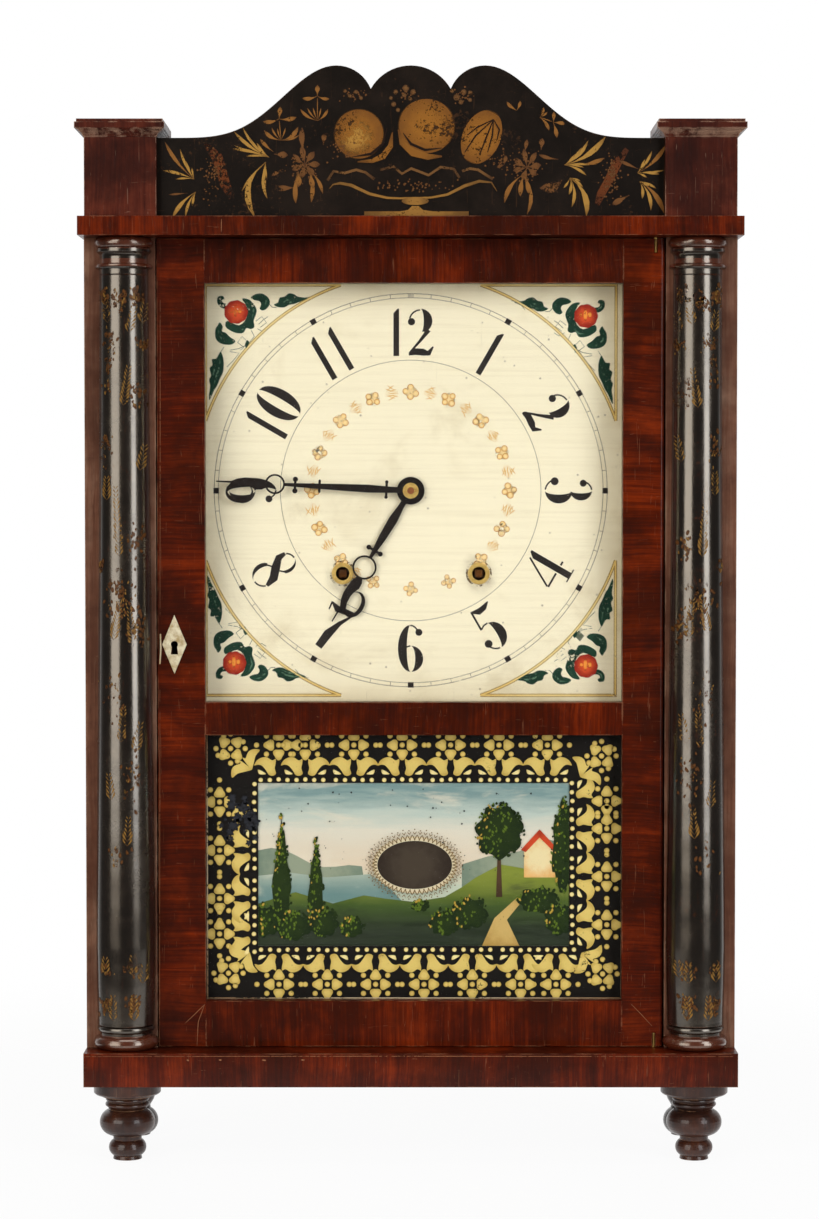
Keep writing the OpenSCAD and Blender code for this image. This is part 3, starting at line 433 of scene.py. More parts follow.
@dataclass(frozen=True)
class Wood(Finish):
    """Wood with its grain, pores, polish, grime and worn edges."""

    name: str
    dark: Colour
    middle: Colour
    light: Colour
    worn: Colour
    axis: Axis = Axis.Z
    gloss: float = 0.34
    coat: float = 0.3
    shine: float = 0.07
    fineness: float = 1.0
    wear: float = 0.6
    grime: float = 0.45

    def shade(self, graph: Graph) -> None:
        """Links grain, grime and worn edges to the shader.

        Args:
            graph: The material's graph.
        """
        where, age, edges = graph.wear()
        grain = graph.group(Effects.grain(), Vector=graph.place(self.axis.value),
                            Fineness=self.fineness)
        tone = graph.line(grain["Fibre"], 0.36, graph.times(grain["Figure"], 0.64))
        blotch = graph.between(graph.noise(where, 19.0, 4.0, 0.62), 0.38, 0.64, 0.0, 0.72)
        rubbed = graph.times(edges["Edge"], self.wear)
        colour = graph.layers(
            graph.ramp(tone, (0.34, self.dark), (0.48, self.middle), (0.66, self.light)),
            (blotch, self.dark), (graph.times(grain["Pores"], 0.45), self.dark),
            (graph.times(age["Grime"], self.grime), tuple(level * 0.35 for level in self.dark)),
            (rubbed, self.worn), (graph.times(age["Scratches"], 0.22), self.worn))
        rough = graph.line(age["Grime"], 0.24, self.gloss)
        graph.show(Base_Color=colour, Specular_IOR_Level=self.shine,
                   Roughness=graph.line(rubbed, 0.25, rough, clamp=True))
        if self.coat:
            graph.show(Coat_Weight=graph.line(age["Grime"], -0.5 * self.coat, self.coat),
                       Coat_Roughness=0.1)
        height = graph.line(grain["Pores"], -0.8, grain["Fibre"])
        graph.relief(height, 0.00007, edges["Normal"])


@dataclass(frozen=True)
class Lacquer(Finish):
    """Black paint over wood, crazed, rubbed brown at the edges and a little dusty."""

    name: str
    ground: Colour
    bare: Colour
    haze: Colour
    gloss: float = 0.2
    coat: float = 0.9
    shine: float = 1.0
    bands: tuple[Point, ...] = ()
    band_colour: Colour = (0.1, 0.03, 0.02)

    def shade(self, graph: Graph) -> None:
        """Links the paint's wear, haze and crackle to the shader.

        Args:
            graph: The material's graph.
        """
        where, age, edges = graph.wear()
        kept = graph.group(Effects.flaking(), Vector=where, Loss=0.18)
        lost = graph.math("SUBTRACT", 1.0, kept["Kept"], clamp=True)
        bare = graph.most(graph.times(lost, 0.45), graph.times(edges["Edge"], 0.85))
        bare = graph.most(bare, graph.times(age["Scratches"], 0.3))
        colour = graph.layers(self.ground, (graph.times(age["Grime"], 0.5), self.haze),
                              (bare, self.bare))
        if self.bands:
            z = graph.parts(where)[2]
            rubbed = graph.between(graph.noise(where, 60.0, 4.0, 0.65), 0.32, 0.5, 0.25, 0.95)
            for low, high in self.bands:
                inside = graph.times(graph.between(z, (low - BAND_FADE) * MM, low * MM),
                                     graph.between(z, (high + BAND_FADE) * MM, high * MM))
                colour = graph.mix(graph.times(inside, rubbed), colour, self.band_colour)
        graph.show(Base_Color=colour, Roughness=graph.line(age["Grime"], 0.18, self.gloss),
                   Specular_IOR_Level=self.shine)
        if self.coat:
            graph.show(Coat_Weight=graph.line(bare, -self.coat, self.coat, clamp=True),
                       Coat_Roughness=0.12, Coat_IOR=1.6, Specular_Tint=(1.0, 0.86, 0.68))
        ripple = graph.noise(where, (700, 700, 420), 4.0, 0.7)
        graph.relief(ripple, 0.00007, edges["Normal"])


@dataclass(frozen=True)
class Metal(Finish):
    """Metal with tarnish, rubbed edges and fine tool marks."""

    name: str
    bright: Colour
    dull: Colour
    tarnish: float = 0.5
    gloss: float = 0.32
    grain: float = 0.00003

    def shade(self, graph: Graph) -> None:
        """Links tarnish and tool marks to the shader.

        Args:
            graph: The material's graph.
        """
        where, age, edges = graph.wear()
        stain = graph.noise(where, 160.0, 5.0, 0.65, 0.5)
        dull = graph.times(graph.between(stain, 0.35, 0.65), self.tarnish)
        dull = graph.line(edges["Edge"], -0.5, dull, clamp=True)
        colour = graph.layers(self.bright, (dull, self.dull),
                              (graph.times(age["Specks"], 0.7),
                               tuple(level * 0.4 for level in self.dull)))
        graph.show(Base_Color=colour, Metallic=graph.line(dull, -0.25, 1.0),
                   Roughness=graph.line(dull, 0.3, self.gloss))
        graph.relief(graph.noise(where, (900, 900, 120), 3.0, 0.6), self.grain, edges["Normal"])


@dataclass(frozen=True)
class Chalky(Finish):
    """A dull mineral or bone surface with stains and fine pits."""

    name: str
    pale: Colour
    dark: Colour
    rough: float = 0.6

    def shade(self, graph: Graph) -> None:
        """Links stains and pits to the shader.

        Args:
            graph: The material's graph.
        """
        where, age, edges = graph.wear()
        stain = graph.noise(where, 240.0, 5.0, 0.65)
        colour = graph.mix(graph.times(age["Specks"], 0.8),
                           graph.ramp(stain, (0.35, self.dark), (0.62, self.pale)), self.dark)
        graph.show(Base_Color=colour, Roughness=graph.line(age["Grime"], 0.15, self.rough))
        graph.relief(stain, 0.00008, edges["Normal"])


@dataclass(frozen=True)
class Pane(Finish):
    """Thin old glass: clear, faintly wavy, with a film of dust."""

    name: str
    tint: Colour = (0.97, 0.99, 0.98)
    dust: Colour = (0.8, 0.78, 0.72)
    veil: float = 0.14

    def shade(self, graph: Graph) -> None:
        """Links dust and waves to the shader.

        Args:
            graph: The material's graph.
        """
        where = graph.place()
        grime = graph.group(Effects.age(), Vector=where)["Grime"]
        graph.show(Base_Color=graph.mix(graph.times(grime, 0.1), self.tint, self.dust),
                   Transmission_Weight=1.0, IOR=1.45, Roughness=graph.line(grime, 0.03, 0.01),
                   Alpha=graph.line(grime, 0.05, self.veil))
        graph.relief(graph.noise(where, (7, 7, 16), 1.0), 0.0004)


@dataclass(frozen=True)
class DialPaint(Finish):
    """Cream paint with brush lines, shaded borders, specks and rubbing at the holes."""

    name: str
    cream: Colour
    shaded: Colour
    smudge: Colour

    def shade(self, graph: Graph) -> None:
        """Links brush lines, stains and smudges to the shader.

        Args:
            graph: The material's graph.
        """
        where = graph.place()
        age = graph.group(Effects.age(), Vector=where)
        lines = graph.noise(where, (10, 10, 520), 4.0, 0.6)
        blot = graph.noise(where, 18.0, 5.0, 0.65, 0.6)
        x_axis, _, z_axis = graph.parts(where)
        up = graph.math("ABSOLUTE", graph.math("SUBTRACT", z_axis, DIAL_Z * MM))
        rim = graph.between(graph.most(graph.math("ABSOLUTE", x_axis), up), 0.118, 0.147)
        stain = graph.times(rim, graph.between(blot, 0.35, 0.65, 0.25, 0.75))
        colour = graph.layers(self.cream, (stain, self.shaded),
                              (graph.between(lines, 0.42, 0.72, 0.0, 0.16), self.shaded),
                              (graph.between(blot, 0.52, 0.75, 0.0, 0.4), self.shaded))
        for x, z in WINDING_HOLES:
            near = graph.vector("DISTANCE", graph.scaled(where, (1, 0, 0.8)),
                                (x * MM, 0, z * MM * 0.8))
            worn = graph.times(graph.between(near, 0.014, 0.007),
                               graph.between(blot, 0.38, 0.58, 0.05, 0.45))
            colour = graph.mix(worn, colour, self.smudge)
        cracks = graph.noise(where, (900, 900, 30), 3.0, 0.6, 1.0)
        colour = graph.layers(colour, (graph.times(age["Specks"], 0.55), self.smudge),
                              (graph.between(cracks, 0.71, 0.74, 0.0, 0.22), self.smudge))
        graph.show(Base_Color=colour, Roughness=graph.line(age["Grime"], 0.15, 0.42),
                   Specular_IOR_Level=0.2)
        graph.relief(lines, 0.00008)


@dataclass(frozen=True)
class Painted(Finish):
    """A painted or stencilled motif, brighter in its middle and darker at its rim."""

    name: str
    middle: Colour
    rim: Colour
    loss: float = 0.2
    rough: float = 0.45
    soft: float = 0.0

    def shade(self, graph: Graph) -> None:
        """Links the motif's shading and its losses to the shader.

        Args:
            graph: The material's graph.
        """
        where = graph.place()
        alpha = graph.group(Effects.flaking(), Vector=where, Loss=self.loss)["Kept"]
        out = graph.times(graph.vector("DISTANCE", graph.place(source="UV"), (0.5, 0.5, 0.0)), 2.0)
        patch = graph.noise(where, 210.0, 4.0, 0.6)
        tone = graph.line(graph.math("SUBTRACT", patch, 0.5), 0.7, out)
        if self.soft:
            alpha = graph.times(alpha, graph.between(out, 1.0, 1.0 - self.soft))
        graph.show(Base_Color=graph.mix(graph.between(tone, 0.25, 1.0), self.middle, self.rim),
                   Alpha=alpha, Roughness=graph.line(patch, 0.2, self.rough - 0.1),
                   Specular_IOR_Level=0.15)
        graph.relief(patch, 0.00004)


@dataclass(frozen=True)
class Sky(Finish):
    """A painted gradient that runs up the tablet's picture, with soft clouds."""

    name: str
    low_z: float
    high_z: float
    stops: tuple[tuple[float, Colour], ...]
    cloud: Colour

    def shade(self, graph: Graph) -> None:
        """Links the gradient and the clouds to the shader.

        Args:
            graph: The material's graph.
        """
        where = graph.place()
        brush = graph.noise(where, (30, 30, 240), 4.0, 0.6)
        rise = graph.between(graph.parts(where)[2], self.low_z * MM, self.high_z * MM)
        rise = graph.line(graph.math("SUBTRACT", brush, 0.5), 0.25, rise)
        cloud = graph.between(graph.noise(where, (22, 22, 60), 4.0, 0.6, 0.4), 0.5, 0.68, 0.0, 0.6)
        graph.show(Base_Color=graph.mix(cloud, graph.ramp(rise, *self.stops), self.cloud),
                   Roughness=graph.between(brush, 0.2, 0.8, 0.35, 0.55))
        graph.relief(brush, 0.00004)


MAHOGANY = hues("2e0d02 541602 8c2e06 a87050")
VENEER_UP = Wood("Mahogany veneer upright", *MAHOGANY)
VENEER_CROSS = Wood("Mahogany veneer across the stiles", *MAHOGANY, axis=Axis.X)
# The stiles' paler, greyer colours are painted sheen, the haze that their polish reflects; their
# edges also wear more.
VENEER_STILE_SHEEN = Wood("Mahogany veneer rubbed pale", *hues("5c382a 825642 a07c66 b08e74"),
                     gloss=0.42, wear=0.9)
# The blocks' greyer colours are painted sheen, the haze that their rougher polish reflects.
VENEER_BLOCK_SHEEN = Wood("Mahogany veneer on the blocks", *hues("2c120d 542216 743624 b28c74"),
                    gloss=0.36, wear=0.9)
TURNED = Wood("Turned mahogany", *hues("1e0c06 422012 623620 a07656"), wear=0.85, gloss=0.24,
              coat=0.55, shine=0.25)
PINE = Wood("Old pine", *hues("785432 a07a50 bc986a c8ac84"), gloss=0.62, coat=0.0, fineness=0.6,
            grime=0.55)
OAK = Wood("Quartered oak", *hues("6e4e2e 967248 b08e62 c4a87e"), gloss=0.56, coat=0.05,
           fineness=0.8)
CHERRY = Wood("Cut cherry", *hues("6e3a1e 985a34 b2744a c6966c"), axis=Axis.X, gloss=0.5, coat=0.08)
LAUREL = Wood("Turned laurel", *hues("684226 8e623c a87e54 be9c74"), axis=Axis.Y, gloss=0.46,
              coat=0.1)
LACQUER = Lacquer("Black paint on the columns", *hues("120d0a 542c1a 20140c"), gloss=0.15, coat=0.6,
                  bands=((73.0, 82.5), (583.0, 588.0), (594.6, 602.4)), band_colour=srgb("562818"))
SPLAT_PAINT = Lacquer("Black paint on the splat", *hues("140e09 543620 2c1e13"), gloss=0.42,
                      coat=0.0, shine=0.12)
DIAL = DialPaint("Cream dial paint", *hues("fcf2d2 cebc94 705c42"))
BRASS = Metal("Old brass", *hues("ecc874 967038"), gloss=0.42)
IRON = Metal("Blued iron", *hues("34302e 241a15"), tarnish=0.8, gloss=0.42)
CAST_IRON = Metal("Cast iron", *hues("4a4642 38281e"), tarnish=0.9, gloss=0.58, grain=0.0002)
BELL_METAL = Metal("Cast bell iron", *hues("5c544a 3c2c20"), tarnish=0.8, gloss=0.5, grain=0.00014)
WIRE = Metal("Drawn iron wire", *hues("7a7670 4a3e34"), tarnish=0.6)
GLASS = Pane("Clock glass")
TABLET = Pane("Tablet glass", veil=0.04)
PUTTY = Chalky("Hard putty", *hues("b2a282 7e6c4e"))
BONE = Chalky("Yellowed bone", *hues("e8debe b29868"), rough=0.34)


def mm(*values: float) -> tuple[float, ...]:
    """Turns millimetres into metres."""
    return tuple(value * MM for value in values)


def held(value: float, low: float, high: float) -> float:
    """Keeps a value between two others."""
    return min(max(value, low), high)


def polar(radius: float, degrees: float, centre: Point = (0.0, 0.0)) -> Point:
    """Gives the point at a distance and an angle from a centre."""
    turn = math.radians(degrees)
    return centre[0] + radius * math.cos(turn), centre[1] + radius * math.sin(turn)


def beside(at: Point, off: Point, degrees: float) -> Point:
    """Gives the point that lies off from another one, with off turned round it."""
    return polar(math.hypot(*off), math.degrees(math.atan2(off[1], off[0])) + degrees, at)


def arc(radius: float, start: float, end: float, steps: int,
        centre: Point = (0.0, 0.0), flat: float = 1.0) -> list[Point]:
    """Gives the points of an arc.

    Args:
        radius: The radius.
        start: The first angle, in degrees from the X axis.
        end: The last angle, in degrees.
        steps: How many pieces it has.
        centre: The centre.
        flat: The share of the radius that the height has.

    Returns:
        The points, with both ends.
    """
    turns = [math.radians(start + (end - start) * k / steps) for k in range(steps + 1)]
    return [(centre[0] + radius * math.cos(a), centre[1] + radius * flat * math.sin(a))
            for a in turns]


def crescent(half_w: float, half_h: float, inner_w: float, side: int = 1,
             centre: Point = (0.0, 0.0), start: float = -88, end: float = 88) -> list[Point]:
    """Gives a heavy stroke between two half ellipses, as stencilled numbers have.

    Args:
        half_w: The half width of the outer curve.
        half_h: The half height.
        inner_w: The half width of the inner curve, which may be below nothing.
        side: 1 for a stroke that bulges to the right, or -1 to the left.
        centre: The centre of both curves.
        start: The lower end's angle, in degrees.
        end: The upper end's angle, in degrees.

    Returns:
        The outline.
    """
    angles = [math.radians(start + (end - start) * k / 20) for k in range(21)]
    outer = [(half_w * math.cos(a), half_h * math.sin(a)) for a in angles]
    inner = [(inner_w * math.cos(a), half_h * math.sin(a)) for a in reversed(angles)]
    return [(centre[0] + side * x, centre[1] + y) for x, y in outer + inner]


def stroke(points: Sequence[Point], width: float | Sequence[float]) -> list[Point]:
    """Gives a brush stroke's outline along a line.

    Args:
        points: The line.
        width: Its width, or one width for each point.

    Returns:
        The outline.
    """
    widths = [width] * len(points) if isinstance(width, (int, float)) else list(width)
    left, right = [], []
    for k, (x, y) in enumerate(points):
        before, after = points[max(k - 1, 0)], points[min(k + 1, len(points) - 1)]
        run = Vector((after[0] - before[0], after[1] - before[1])).normalized()
        half = widths[k] / 2
        left.append((x - run.y * half, y + run.x * half))
        right.append((x + run.y * half, y - run.x * half))
    return left + right[::-1]


def leaf(length: float, width: float, bend: float = 0.0, count: int = 14) -> list[Point]:
    """Gives a leaf's outline, from its foot at the origin to its point.

    Args:
        length: How long it is.
        width: How wide it is.
        bend: How far its middle is pushed to the side.
        count: How many points the outline has.

    Returns:
        The outline.
    """
    made = []
    for k in range(count):
        a = TURN * k / count
        share = 0.5 - 0.5 * math.cos(a)
        across = math.sin(a) * (1.15 - 0.35 * share) * width / 2
        made.append((length * share, across + bend * math.sin(math.pi * share)))
    return made


def curl(points: Sequence[Point], steps: int = 3) -> list[Point]:
    """Rounds an outline off, through all of its points.

    Args:
        points: The outline's points.
        steps: How many pieces each side gets.

    Returns:
        The rounded outline.
    """
    made = []
    for k in range(len(points)):
        a, b, c, d = (Vector(points[(k + j) % len(points)]) for j in (-1, 0, 1, 2))
        for t in (step / steps for step in range(steps)):
            at = 0.5 * (2 * b + (c - a) * t + (2 * a - 5 * b + 4 * c - d) * t * t
                        + (3 * b - a - 3 * c + d) * t ** 3)
            made.append((at.x, at.y))
    return made


def blade(foot: Point, tip: Point, width: float, sag: float = 0.0) -> list[Point]:
    """Gives a long leaf on a thin stalk.

    Args:
        foot: Where its stalk starts.
        tip: Its point.
        width: How wide it is.
        sag: How far its middle is pushed to the left, as a share of the length.

    Returns:
        The outline.
    """
    start, end = Vector(foot), Vector(tip)
    side = Vector((start.y - end.y, end.x - start.x)) * sag
    line = [start.lerp(end, t) + side * (4 * t * (1 - t))
            for t in (0, 0.2, 0.4, 0.55, 0.7, 0.85, 1)]
    return stroke(line, [width * share for share in (0.14, 0.2, 0.55, 0.92, 1.0, 0.72, 0.08)])


def petals(radius: float, count: int, depth: float, points: int = 36) -> list[Point]:
    """Gives a flower's scalloped outline.

    Args:
        radius: The mean radius.
        count: How many petals it has.
        depth: How deep the scallops are, as a share of the radius.
        points: How many points the outline has.

    Returns:
        The outline.
    """
    made = []
    for k in range(points):
        a = TURN * k / points
        r = radius * (1 + depth * math.cos(count * a))
        made.append((r * math.cos(a), r * math.sin(a)))
    return made


def oval(half_w: float, half_h: float, centre: Point = (0.0, 0.0), count: int = 48) -> list[Point]:
    """Gives an oval outline of count points."""
    return [(centre[0] + half_w * math.cos(TURN * k / count),
             centre[1] + half_h * math.sin(TURN * k / count)) for k in range(count)]


def ring(outer: float, inner: float, centre: Point = (0.0, 0.0),
         count: int = 48) -> tuple[list[Point], list[Point]]:
    """Gives a ring's outline and its hole's."""
    return oval(outer, outer, centre, count), oval(inner, inner, centre, count)[::-1]


def rect(left: float, right: float, low: float, high: float) -> list[Point]:
    """Gives a rectangle's outline."""
    return [(left, low), (right, low), (right, high), (left, high)]


@dataclass(frozen=True)
class Flat:
    """A flat face that looks to the front, which painted work lies on."""

    y: float

    def at(self, across: float, up: float, lift: float = 0.0) -> Vector:
        """Gives, in metres, the place of a point at X, Z and a distance off the face."""
        return Vector(mm(across, self.y - lift, up))


@dataclass(frozen=True)
class Round:
    """The front of a half column, which painted work is wrapped round."""

    x: float
    y: float
    low_z: float
    high_z: float
    low_r: float
    swell_r: float
    high_r: float
    swell_at: float = 0.12

    def radius(self, z: float) -> float:
        """Gives the shaft's radius at a height.

        Args:
            z: The height.

        Returns:
            The radius.
        """
        share = held((z - self.low_z) / (self.high_z - self.low_z), 0.0, 1.0)
        if share < self.swell_at:
            rise = math.sin(math.pi / 2 * share / self.swell_at)
            return self.low_r + (self.swell_r - self.low_r) * rise
        left = 1 - (share - self.swell_at) / (1 - self.swell_at)
        return self.high_r + (self.swell_r - self.high_r) * left ** 1.4

    def at(self, across: float, up: float, lift: float = 0.0) -> Vector:
        """Gives, in metres, the place of a point at a distance from the column's middle."""
        radius = self.radius(up) + lift
        turn = math.asin(held(across / self.radius(up), -0.985, 0.985))
        return Vector(mm(self.x + radius * math.sin(turn), self.y - radius * math.cos(turn), up))


Surface = Flat | Round


class Shop:
    """The steps that every new piece is made with."""

    @staticmethod
    def clear() -> None:
        """Deselects everything, so that a new primitive is the only piece at work."""
        bpy.ops.object.select_all(action="DESELECT")

    @staticmethod
    def select(pieces: Iterable[Piece]) -> None:
        """Selects pieces, the first as the active one.

        Args:
            pieces: The pieces.
        """
        Shop.clear()
        chosen = list(pieces)
        for piece in chosen:
            piece.select_set(True)
        bpy.context.view_layer.objects.active = chosen[0]

    @staticmethod
    def motif(*outlines: Sequence[Point]) -> Piece:
        """Makes a flat motif with a UV map that has its middle at the motif's.

        Args:
            *outlines: The outer outline and its holes.

        Returns:
            The motif, lying flat at the origin, to be copied and then removed.
        """
        curve = bpy.data.curves.new("outline", "CURVE")
        curve.dimensions = "2D"
        curve.fill_mode = "BOTH"
        for outline in outlines:
            line = curve.splines.new("POLY")
            line.points.add(len(outline) - 1)
            for point, (x, y) in zip(line.points, outline):
                point.co = (x, y, 0, 1)
            line.use_cyclic_u = True
        drawn = bpy.data.objects.new("outline", curve)
        bpy.context.collection.objects.link(drawn)
        Shop.select([drawn])
        bpy.ops.object.convert(target="MESH")
        made = bpy.context.object
        rim = [Vector(point) for point in outlines[0]]
        middle = sum(rim, Vector((0, 0))) / len(rim)
        reach = max((point - middle).length for point in rim)
        chart = made.data.uv_layers.active or made.data.uv_layers.new(name="UVMap")
        for loop in made.data.loops:
            away = (made.data.vertices[loop.vertex_index].co.xy - middle) / (2 * reach)
            chart.data[loop.index].uv = (0.5 + away.x, 0.5 + away.y)
        if made.data.polygons[0].normal.z < 0:
            made.data.flip_normals()
        return made

    @staticmethod
    def film(name: str, pieces: list[Piece], finish: Finish, body: Body) -> None:
        """Joins motifs to one painted film and gives it its thickness and finish.

        Args:
            name: The film's name.
            pieces: The motifs, already in place.
            finish: The film's finish.
            body: The body that carries it.
        """
        Shop.select(pieces)
        if len(pieces) > 1:
            bpy.ops.object.join()
        made = bpy.context.object
        made.name = made.data.name = name
        bpy.ops.object.mode_set(mode="EDIT")
        bpy.ops.mesh.select_all(action="SELECT")
        bpy.ops.mesh.remove_doubles(threshold=1e-7)
        bpy.ops.object.mode_set(mode="OBJECT")
        solid = made.modifiers.new("Thickness", "SOLIDIFY")
        solid.thickness = FILM * MM
        solid.offset = 1.0
        bpy.ops.object.modifier_apply(modifier=solid.name)
        made.data.materials.clear()
        made.data.materials.append(finish.material())
        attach(made, body.value)
        LOG.info("%s: %d faces", name, len(made.data.polygons))


@dataclass
class Painter:
    """Lays copies of motifs and drawn outlines on one surface."""

    surface: Surface
    body: Body
    lift: float = 0.02
    pieces: list[Piece] = field(default_factory=list)

    def print(self, motif: Piece, spots: Iterable[tuple]) -> None:
        """Copies a motif to several spots and removes the first one.

        Args:
            motif: The motif, lying flat at the origin.
            spots: Each spot's across, up, turn in degrees and size, and -1 to mirror it.
        """
        for across, up, turn, size, *mirror in spots:
            lift = self.lift + FILM_STEP * (len(self.pieces) % FILM_STEPS)
            copy = motif.copy()
            copy.data = motif.data.copy()
            bpy.context.collection.objects.link(copy)
            flip = mirror[0] if mirror else 1
            spin = Matrix.Rotation(math.radians(turn), 2)
            for vertex in copy.data.vertices:
                flat = spin @ Vector((vertex.co.x * size, vertex.co.y * size * flip))
                vertex.co = self.surface.at(across + flat.x, up + flat.y, lift)
            if flip < 0:
                copy.data.flip_normals()
            self.pieces.append(copy)
        bpy.data.objects.remove(motif)

    def draw(self, *outlines: Sequence[Point], spot: Point = (0.0, 0.0), turn: float = 0.0) -> None:
        """Lays a filled outline and its holes, with its origin at spot, turned in degrees."""
        self.print(Shop.motif(*outlines), [(*spot, turn, 1.0)])

    def finish(self, name: str, finish: Finish) -> None:
        """Makes one film of all that was laid."""
        Shop.film(name, self.pieces, finish, self.body)
        self.pieces = []


@dataclass
class Eye:
    """The camera that took the photograph, and where its pixels fall."""

    place: tuple[float, float, float] = (-0.8, -2164.0, 444.0)
    pitch: float = 2.25
    focal: float = 3256.0
    width: int = 819
    height: int = 1219

    def at(self, across: float, down: float, y: float) -> Point:
        """Gives the place on an upright plane that a pixel of the photograph shows.

        Args:
            across: The pixel's column.
            down: The pixel's row.
            y: The plane's Y.

        Returns:
            X and Z.
        """
        tilt = math.radians(self.pitch)
        side = (across - self.width / 2) / self.focal
        rise = -(down - self.height / 2) / self.focal
        depth = math.cos(tilt) + rise * math.sin(tilt)
        drop = -math.sin(tilt) + rise * math.cos(tilt)
        far = (y - self.place[1]) / depth
        return self.place[0] + far * side, self.place[2] + far * drop

    def build(self) -> None:
        """Makes the camera and looks through it."""
        data = bpy.data.cameras.new("Camera")
        data.sensor_width = 36
        data.sensor_fit = "AUTO"
        data.lens = self.focal * 36 / self.height
        data.clip_start = 0.1
        data.clip_end = 60
        made = bpy.data.objects.new("Camera", data)
        made.location = mm(*self.place)
        made.rotation_euler = (math.radians(90 - self.pitch), 0, 0)
        bpy.context.scene.collection.objects.link(made)
        bpy.context.scene.camera = made


EYE = Eye()


# The strokes of each number, 31 mm high and drawn about its own middle.
TALL = 15.5
SLAB = [(-1.85, -TALL), (1.85, -TALL), (1.85, TALL), (0.8, TALL), (-1.85, 12.6)]
SIX = [
    crescent(8.4, TALL, 2.6, -1),
    crescent(8.2, 8.6, 3.0, 1, (0, -6.9)),
    stroke(arc(7.2, 48, 92, 8, flat=2.1), [2.2] + [1.0] * 8),
    oval(2.3, 2.3, (5.4, 10.6), 16),
    stroke(arc(6.4, 92, 150, 6, (0, -6.4), 1.25), 1.0),
]
NUMERALS = {
    "0": [crescent(8.4, TALL, 2.4, -1, (-0.7, 0)), crescent(8.4, TALL, 2.4, 1, (0.7, 0))],
    "1": [SLAB],
    "2": [
        crescent(7.8, 8.0, 2.2, 1, (0, 7.5), -62),
        stroke(arc(7.2, 92, 168, 10, (0, 7.5)), 1.0),
        oval(2.4, 2.4, (-5.9, 7.0), 16),
        stroke([(5.4, 1.6), (-0.6, -6.0), (-7.4, -13.6)], [3.0, 1.8, 1.0]),
        stroke([(-7.6, -14.6), (-3.4, -12.6), (1.8, -13.0), (5.6, -13.6), (8.4, -9.4)],
               [1.4, 4.4, 4.6, 3.4, 0.9]),
    ],
    "3": [
        crescent(6.4, 7.2, 1.8, 1, (0, 8.2), -74, 88),
        crescent(8.4, 9.0, 2.6, 1, (0, -6.5), -88, 76),
        stroke(arc(6.2, 95, 160, 8, (0, 8.2), 1.12), 1.0),
        stroke(arc(7.8, 200, 265, 8, (0, -6.6), 1.12), 1.0),
        oval(2.3, 2.3, (-4.9, 9.6), 16), oval(2.6, 2.6, (-6.2, -9.2), 16),
    ],
    "4": [
        [(1.6, -TALL), (6.0, -TALL), (6.0, TALL), (4.6, TALL), (1.6, 12.0)],
        stroke([(1.2, 14.0), (-4.2, 4.4), (-9.6, -5.4)], 1.2),
        stroke([(-9.6, -6.2), (0.8, -6.2)], 1.3), stroke([(6.8, -6.2), (9.6, -6.2)], 1.3),
        stroke([(-0.8, -TALL + 0.4), (8.6, -TALL + 0.4)], 0.9),
    ],
    "5": [
        crescent(8.2, 9.2, 2.2, 1, (0, -6.2), -88, 84),
        stroke(arc(7.6, 200, 265, 8, (0, -6.4), 1.15), 1.0),
        oval(2.6, 2.6, (-6.0, -9.2), 16),
        stroke([(-5.6, 14.6), (-5.6, 1.0)], 1.3),
        stroke([(-5.4, 1.2), (-2.8, 2.9), (0.2, 3.1)], 1.0),
        stroke([(-6.0, 14.4), (-1.0, 12.4), (3.4, 13.2), (7.4, 15.4)], [1.0, 4.2, 3.6, 0.8]),
    ],
    "6": SIX,
    "7": [
        stroke([(-8.4, 14.8), (-3.0, 12.4), (2.4, 13.2), (8.6, 15.3)], [0.9, 4.4, 4.0, 0.9]),
        stroke([(-8.2, 15.0), (-7.6, 9.4)], [1.2, 0.9]),
        stroke([(8.2, 13.4), (3.2, 4.8), (-0.2, -5.0), (-1.4, -TALL)], [0.9, 2.8, 5.8, 5.0]),
    ],
    "8": [
        stroke([(-5.6, 11.6), (-5.4, 6.8), (-0.6, 1.6), (4.8, -3.2), (6.8, -9.4)],
               [2.2, 4.4, 5.8, 5.6, 2.2]),
        crescent(6.6, 7.0, 4.4, 1, (0, 8.6), -30, 88),
        crescent(8.0, 8.2, 5.2, -1, (0, -7.2), -88, 40),
        stroke(arc(6.0, 92, 150, 6, (0, 8.8), 1.1), 1.0),
        stroke(arc(7.0, -86, -20, 6, (0, -7.4), 1.1), 1.0),
        stroke([(6.0, 6.6), (2.2, 2.4)], 1.0), stroke([(-7.0, -4.6), (-2.6, -0.2)], 1.0),
    ],
}
NUMERALS["9"] = [[(-x, -y) for x, y in outline] for outline in SIX]


